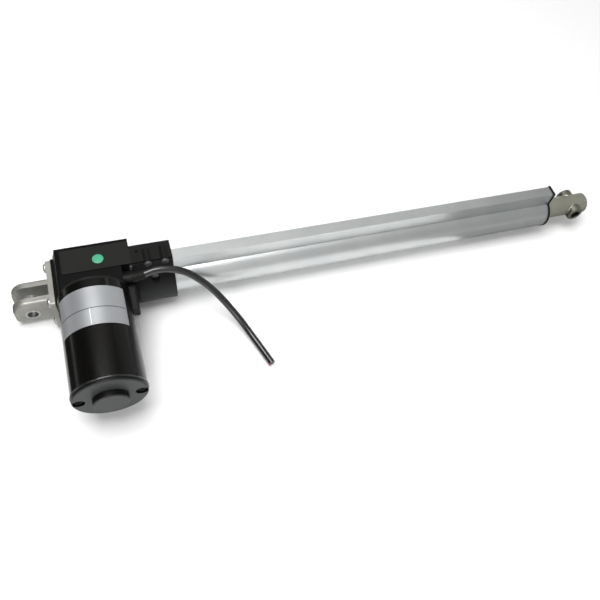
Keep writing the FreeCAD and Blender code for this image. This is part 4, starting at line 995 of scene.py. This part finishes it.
@dataclass
class MotorShell:
    """What dresses the can: the rolled rim at its end and the bare label.

    Attributes:
        label_mm: Distances down the motor at which the label starts and ends.
        label_deg: Its left and right edge, as angles from the top toward +X.
        film_mm: Gap under the label and its thickness.
        ink_mm: Thickness of the ink and of the painted highlight.
        rule_mm: Distance down the motor to the rule, and its width.
        painted_highlight_deg: Angles of the painted highlight's edges, a thin bright upright line.
    """

    axis: MotorAxis
    rim_mm: float = 0.9
    rim_inset_mm: float = 0.25
    label_mm: Pair = (36.0, 73.5)
    label_deg: Pair = (-66.0, 54.0)
    film_mm: Pair = (0.02, 0.12)
    ink_mm: float = 0.04
    rule_mm: Pair = (56.7, 0.65)
    rule_inset_deg: float = 3.0
    painted_highlight_deg: Pair = (-7.0, -6.1)
    painted_highlight_inset_mm: float = 0.8

    def build(self) -> None:
        """Makes the rim, the label, its rule and a painted highlight upright on the label; there are no
        words.
        """
        self.make_rim()
        gap, film = self.film_mm
        rule, rule_end = self.rule_mm[0], sum(self.rule_mm)
        across = (self.label_deg[0] + self.rule_inset_deg, self.label_deg[1] - self.rule_inset_deg)
        down = (rule_end, self.label_mm[1] - self.painted_highlight_inset_mm)
        self.lay("motor_label", LABEL_FILM, self.label_deg, self.label_mm, gap, film)
        self.lay("label_rule", LABEL_INK, across, (rule, rule_end), gap + film, self.ink_mm)
        # A thin bright upright line on the film: a painted highlight.
        self.lay("label_painted_highlight", LABEL_GLINT, self.painted_highlight_deg, down, gap + film, self.ink_mm)

    def make_rim(self) -> None:
        """A rolled bead that closes the can over the end cap."""
        deselect()
        bpy.ops.mesh.primitive_torus_add(
            major_radius=(self.axis.radius_mm - self.rim_inset_mm) * MM, minor_radius=self.rim_mm * MM,
            major_segments=96, minor_segments=12,
        )
        rim = named("can_rolled_rim")
        settle(rim, self.axis.place(self.axis.end_mm))
        dress(rim, RIM_ENAMEL, Body.FRAME)

    def lay(
        self, name: str, finish: Finish, span_deg: Pair, down_mm: Pair, gap_mm: float, thick_mm: float,
    ) -> None:
        """Lays a thin patch round the can.

        Args:
            name: The piece's name.
            finish: Its surface.
            span_deg: Its first and last angle from the top toward +X.
            down_mm: Its near and far edge, as distances down the motor.
            gap_mm: Gap under the patch.
            thick_mm: Its thickness.
        """
        deselect()
        bpy.ops.mesh.primitive_grid_add(x_subdivisions=40, y_subdivisions=4, size=1)
        patch = named(name)
        radius = self.axis.radius_mm + gap_mm
        for vert in patch.data.vertices:
            angle = radians(span_deg[0] + (vert.co.x + 0.5) * (span_deg[1] - span_deg[0]))
            down = down_mm[0] + (0.5 - vert.co.y) * (down_mm[1] - down_mm[0])
            across, up = radius * sin(angle), radius * cos(angle)
            vert.co = Vector((self.axis.x_mm + across, -down, self.axis.z_mm + up)) * MM
        apply_modifier(patch, "SOLIDIFY", thickness=thick_mm * MM, offset=1.0)
        settle(patch)
        dress(patch, finish, Body.FRAME)


@dataclass
class HousingDot:
    """The green paper dot on the housing's top."""

    x_mm: float = 67.0
    y_mm: float = 6.0
    radius_mm: float = 5.0
    thick_mm: float = 0.12
    edge_mm: float = 0.04

    def build(self) -> None:
        """Makes the dot on the block's flat top, which lies behind the screw ribs."""
        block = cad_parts["housing_back"].data.vertices
        top = max(vert.co.z for vert in block if vert.co.x < self.x_mm * MM)
        deselect()
        bpy.ops.mesh.primitive_cylinder_add(
            vertices=64, radius=self.radius_mm * MM, depth=self.thick_mm * MM,
            location=(self.x_mm * MM, self.y_mm * MM, top + self.thick_mm / 2 * MM),
        )
        dot = named("green_dot")
        settle(dot)
        bevel_edges(dot, self.edge_mm)
        dress(dot, STICKER_PAPER, Body.FRAME)


@dataclass
class WeldBeads:
    """The weld beads where the cross bush passes through the rod; all three sizes are radii."""

    rod_mm: float = 11.0
    bush_mm: float = 9.0
    bead_mm: float = 0.55
    steps: int = 72

    def build(self) -> None:
        """Makes one bead on each side of the rod, along the line where the two rounds meet."""
        eye = middle_of("rod_end_bush") / MM
        for side, name in ((-1, "weld_bead_near"), (1, "weld_bead_far")):
            line = []
            for number in range(self.steps):
                angle = tau * number / self.steps
                across, up = self.bush_mm * cos(angle), self.bush_mm * sin(angle)
                line.append(eye + Vector((across, side * sqrt(self.rod_mm**2 - up**2), up)))
            bead = add_curve(name, "POLY", line, self.bead_mm, rings=3)
            bead.data.splines[0].use_cyclic_u = True
            dress(make_mesh(bead), ROD_STEEL, Body.ROD)


@dataclass
class PowerCord:
    """The cord, and the two cores that show at its cut end.

    Attributes:
        root_mm: Where it leaves the gland.
        core_mm: Radius of a core.
        core_apart: Distance of the cores from the middle, in their radii.
        core_out_mm: How far the middle of a core's end stands out of the jacket.
    """

    diameter_mm: float = 6.8
    root_mm: Point = (84.0, -17.5, 40.0)
    route_mm: tuple[Point, ...] = (
        (100.0, -17.5, 40.0), (114.5, -14.5, 42.5), (130.0, -15.5, 41.0), (144.0, -19.5, 36.0),
        (155.5, -26.5, 29.0), (166.0, -33.0, 18.0), (176.0, -43.0, 7.0), (185.5, -56.0, -3.0),
        (193.5, -72.0, -9.5), (200.0, -88.5, -12.0), (206.0, -106.5, -12.0),
    )
    length_mm: float = 185.7
    core_mm: float = 1.1
    core_apart: float = 1.15
    core_thick_mm: float = 0.4
    core_out_mm: float = 0.1

    def build(self) -> Piece:
        """Returns:
            The jacket, a curve.
        """
        points = [self.root_mm, *self.route_mm]
        cord = add_curve("power_cord_jacket", "NURBS", points, self.diameter_mm / 2, rings=8)
        spline = cord.data.splines[0]
        spline.order_u = 3
        spline.use_endpoint_u = True
        spline.resolution_u = 16
        dress(cord, CORD_PVC, Body.FRAME, "power_cord")
        cores = self.make_cores(Vector(points[-2]), Vector(points[-1]))
        return cord

    def make_cores(self, before: Vector, end: Vector) -> list[Piece]:
        """The ends of the two insulated cores, nearly flush with the cut jacket.

        Args:
            before: The route's last point but one, in millimetres.
            end: The route's last point.

        Returns:
            The two pieces.
        """
        turn = (end - before).to_track_quat("Z", "Y").to_matrix().to_4x4()
        apart = self.core_mm * self.core_apart
        pieces = []
        for side, finish, name in (
            (-apart, WIRE_RED, "cord_core_red"), (apart, WIRE_BLACK, "cord_core_black"),
        ):
            deselect()
            bpy.ops.mesh.primitive_cylinder_add(
                vertices=24, radius=self.core_mm * MM, depth=self.core_thick_mm * MM,
                location=(side * MM, 0, self.core_out_mm * MM),
            )
            core = named(name)
            settle(core, Matrix.Translation(end * MM) @ turn)
            dress(core, finish, Body.FRAME)
            pieces.append(core)
        return pieces


@dataclass
class StrainRelief:
    """The ribbed sleeve that carries the cord out of the gland, thinner toward its mouth.

    Attributes:
        cord: The jacket that it follows.
        first_mm: Station along X where the first rib starts.
        fineness: Points per stretch of the cord's line that the sleeve is placed by.
    """

    cord: Piece
    first_mm: float = 93.2
    rib_mm: float = 1.2
    gap_mm: float = 0.9
    ribs: int = 6
    root_radius_mm: float = 5.0
    mouth_radius_mm: float = 4.2
    groove_mm: float = 0.7
    flank_mm: float = 0.05
    edge_mm: float = 0.15
    fineness: int = 64

    def cord_line(self) -> list[Vector]:
        """Reads the points of the cord's own spline, from a copy of its curve with no bevel.

        Returns:
            The points, in metres, from the gland on.
        """
        curve = self.cord.data.copy()
        curve.bevel_depth = 0
        curve.splines[0].resolution_u = self.fineness
        bare = bpy.data.objects.new("bare_cord_line", curve)
        mesh = bpy.data.meshes.new_from_object(bare)
        points = [vert.co.copy() for vert in mesh.vertices]
        bpy.data.objects.remove(bare)
        bpy.data.curves.remove(curve)
        bpy.data.meshes.remove(mesh)
        return points

    def build(self) -> None:
        """Makes the sleeve as one body of ribs and grooves along the cord."""
        line = self.cord_line()
        centres, radii = [], []
        for number in range(self.ribs):
            fall = (self.root_radius_mm - self.mouth_radius_mm) * number / (self.ribs - 1)
            crest = self.root_radius_mm - fall
            groove, flank = crest - self.groove_mm, self.flank_mm
            start = self.first_mm + number * (self.rib_mm + self.gap_mm)
            end = start + self.rib_mm
            ring = ((start, groove), (start + flank, crest), (end, crest), (end + flank, groove))
            for station, radius in ring:
                x = station * MM
                near, far = next(pair for pair in zip(line, line[1:]) if pair[1].x >= x)
                centres.append(near.lerp(far, (x - near.x) / (far.x - near.x)) / MM)
                radii.append(radius)
        sleeve = add_curve("strain_relief", "POLY", centres, radius_mm=1.0, rings=8)
        for point, radius in zip(sleeve.data.splines[0].points, radii):
            point.radius = radius
        sleeve = make_mesh(sleeve)
        bevel_edges(sleeve, self.edge_mm)
        dress(sleeve, CAP_NYLON, Body.FRAME)


@dataclass
class Studio:
    """The pale floor, the soft lights and the camera at the photograph's angle.

    Attributes:
        eye_mm: Where the camera stands in the frame.
        right: The picture's right in the frame, as down and forward are its other ways.
        fade_m: Distances between which the floor goes over to white.
        cards: Name, place, size and sRGB hex of each card.
        sky: The sky's sRGB hex from its left, 0, to its right, 1.
        lamps: Name, place, size and watts of each lamp.
        aim: The point that the lamps look at.
    """

    eye_mm: Point = (86.9, -357.4, 547.9)
    right: Point = (0.95038, -0.28632, 0.12169)
    down: Point = (-0.18453, -0.83371, -0.52046)
    forward: Point = (0.25047, 0.47218, -0.84517)
    focal_px: float = 649.8
    picture_px: float = 600.0
    sensor_mm: float = 36.0
    floor_colour: str = "f8f8f8"
    floor_gap_m: float = 0.0005
    fade_m: Pair = (0.9, 1.6)
    cards: tuple[tuple[str, Pair, float, str], ...] = (
        ("studio_card_left", (-0.21, 0.0), 0.36, "101010"),
        ("studio_card_right", (0.73, -0.15), 0.55, "9a9a9a"),
    )
    sky: tuple[tuple[float, str], ...] = (
        (0.2, "444444"), (0.48, "d0d0d0"), (0.65, "dcdcdc"), (0.72, "b8b8b8"), (0.79, "787878"),
        (0.84, "a0a0a0"), (0.9, "d0d0d0"),
    )
    lamps: tuple[tuple[str, Point, float, float], ...] = (
        ("lamp_top", (-0.1, 0.0, 1.6), 1.0, 25.0),
        ("lamp_front", (-0.6, -1.5, 1.0), 1.0, 11.0),
        ("lamp_strip", (1.1, 0.9, 0.9), 0.2, 0.3),
    )
    aim: Point = (0.15, 0.0, 0.0)

    def build(self) -> None:
        """Makes the whole studio."""
        bpy.context.scene.view_settings.view_transform = "Standard"
        self.make_camera()
        self.make_floor()
        self.make_cards()
        self.make_world()
        self.make_lamps()

    def make_camera(self) -> None:
        """Puts the camera where the photograph was taken from."""
        data = bpy.data.cameras.new("camera")
        data.sensor_width = self.sensor_mm
        data.lens = self.focal_px / self.picture_px * self.sensor_mm
        data.clip_start, data.clip_end = 0.01, 20
        camera = show(bpy.data.objects.new("camera", data))
        columns = (Vector(self.right), -Vector(self.down), -Vector(self.forward))
        turn = Matrix(columns).transposed().to_4x4()
        camera.matrix_world = Matrix.Translation(Vector(self.eye_mm) * MM) @ turn
        bpy.context.scene.camera = camera

    def make_floor(self) -> None:
        """A pale floor that keeps the object's shadow and turns white a metre and more away."""
        deselect()
        bpy.ops.mesh.primitive_plane_add(size=40, location=(0, 0, CAD_LOW.z - self.floor_gap_m))
        floor = named("studio_floor")
        material = bpy.data.materials.new("studio_floor")
        tree = bare_tree(material)
        paint = add_node(
            tree, "BsdfPrincipled",
            values={"Base Color": srgb(self.floor_colour), "Roughness": 0.9, "Specular IOR Level": 0.1},
        )
        place = add_node(tree, "TexCoord").outputs["Object"]
        reach = add_node(tree, "VectorMath", {"operation": "LENGTH"}, links={0: place})
        path = add_node(tree, "LightPath").outputs
        seen = add_node(
            tree, "Math", {"operation": "MAXIMUM"},
            links={0: path["Is Camera Ray"], 1: path["Is Glossy Ray"]},
        )
        share = add_node(
            tree, "MapRange", values={"From Min": self.fade_m[0], "From Max": self.fade_m[1]},
            links={"Value": reach.outputs["Value"], "To Max": seen.outputs[0]},
        )
        white = add_node(tree, "Emission", values={"Color": srgb("ffffff"), "Strength": 1.0})
        mix = add_node(
            tree, "MixShader", links={0: share.outputs[0], 1: paint.outputs[0], 2: white.outputs[0]},
        )
        add_node(tree, "OutputMaterial", links={"Surface": mix.outputs[0]})
        floor.data.materials.append(material)

    def make_cards(self) -> None:
        """Cards flat on the floor that only reflections see, for the can's left and the rod's end."""
        for name, place, size, colour in self.cards:
            deselect()
            bpy.ops.mesh.primitive_plane_add(size=size, location=(*place, CAD_LOW.z))
            card = named(name)
            settle(card)
            material = bpy.data.materials.new(name)
            material.use_nodes = True
            paint = material.node_tree.nodes["Principled BSDF"].inputs
            paint["Base Color"].default_value = srgb(colour)
            paint["Roughness"].default_value = 0.9
            card.data.materials.append(material)
            card.visible_camera = card.visible_diffuse = card.visible_shadow = False

    def make_world(self) -> None:
        """A pale sky, darker toward the left and right, that the camera sees as white."""
        world = bpy.data.worlds.new("studio_sky")
        bpy.context.scene.world = world
        tree = bare_tree(world)
        way = add_node(tree, "TexCoord").outputs["Generated"]
        across = add_node(tree, "SeparateXYZ", links={0: way}).outputs["X"]
        spread = add_node(
            tree, "MapRange", values={"From Min": -1.0, "From Max": 1.0}, links={"Value": across}
        )
        glow = add_node(tree, "ValToRGB", links={"Fac": spread.outputs[0]})
        stops = glow.color_ramp.elements
        (first, first_shade), *inner, (last, last_shade) = self.sky
        stops[0].position, stops[0].color = first, srgb(first_shade)
        stops[1].position, stops[1].color = last, srgb(last_shade)
        for position, shade in inner:
            stops.new(position).color = srgb(shade)
        dim = add_node(tree, "Background", links={"Color": glow.outputs["Color"]})
        white = add_node(tree, "Background", values={"Color": srgb("ffffff"), "Strength": 1.0})
        seen = add_node(tree, "LightPath").outputs["Is Camera Ray"]
        mix = add_node(tree, "MixShader", links={0: seen, 1: dim.outputs[0], 2: white.outputs[0]})
        add_node(tree, "OutputWorld", links={"Surface": mix.outputs[0]})

    def make_lamps(self) -> None:
        """Large soft lamps above and in front, and a small weak one behind the right."""
        for name, place, size, power in self.lamps:
            data = bpy.data.lights.new(name, "AREA")
            data.size = size
            data.energy = power
            lamp = show(bpy.data.objects.new(name, data))
            turn = (Vector(self.aim) - Vector(place)).to_track_quat("-Z", "Y").to_matrix().to_4x4()
            lamp.matrix_world = Matrix.Translation(place) @ turn


def dress_cad_nodes() -> None:
    """Gives every CAD node that stays visible its finish."""
    for finish, names in FINISHED_NODES.items():
        for name in names:
            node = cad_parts[name]
            node.data.materials.clear()
            node.data.materials.append(finish.build())
            LOG.info("node %s is %s", name, finish.name)


def main() -> None:
    """Builds the studio and each sub-assembly in order."""
    logging.basicConfig(level=logging.INFO, format="%(message)s")
    Studio().build()
    jacket = PowerCord().build()
    StrainRelief(jacket).build()
    dress_cad_nodes()
    rear, motor = Facing.REAR, Facing.MOTOR
    black = "black_oxide_steel"
    # The numbers: head's radius and height, shank's radius, and the cross's reach, width and turns.
    for screws in (
        ScrewSet("clevis_screws", rear, ZINC_STEEL, "zinc_steel", 4.5, 2.8, 2.5, 2.6, 1.1, (20, 31)),
        ScrewSet("housing_screws", motor, BLACK_OXIDE, black, 3.5, 2.4, 2.0, 2.0, 0.9, (12, 37)),
        ScrewSet("through_bolts", motor, BOLT_PHOSPHATE, black, 3.6, 2.6, 2.0, 2.1, 0.9, (12, 37)),
    ):
        screws.build()
    axis = MotorAxis.from_can()
    LeadScrew(Thread(core_mm=6.0, crest_mm=8.0, pitch_mm=4.0)).build()
    WormShaft(axis, Thread(core_mm=4.75, crest_mm=6.9, pitch_mm=pi, crest_share=0.25)).build()
    MotorShell(axis).build()
    HousingDot().build()
    WeldBeads().build()


if __name__ == "__main__":
    main()
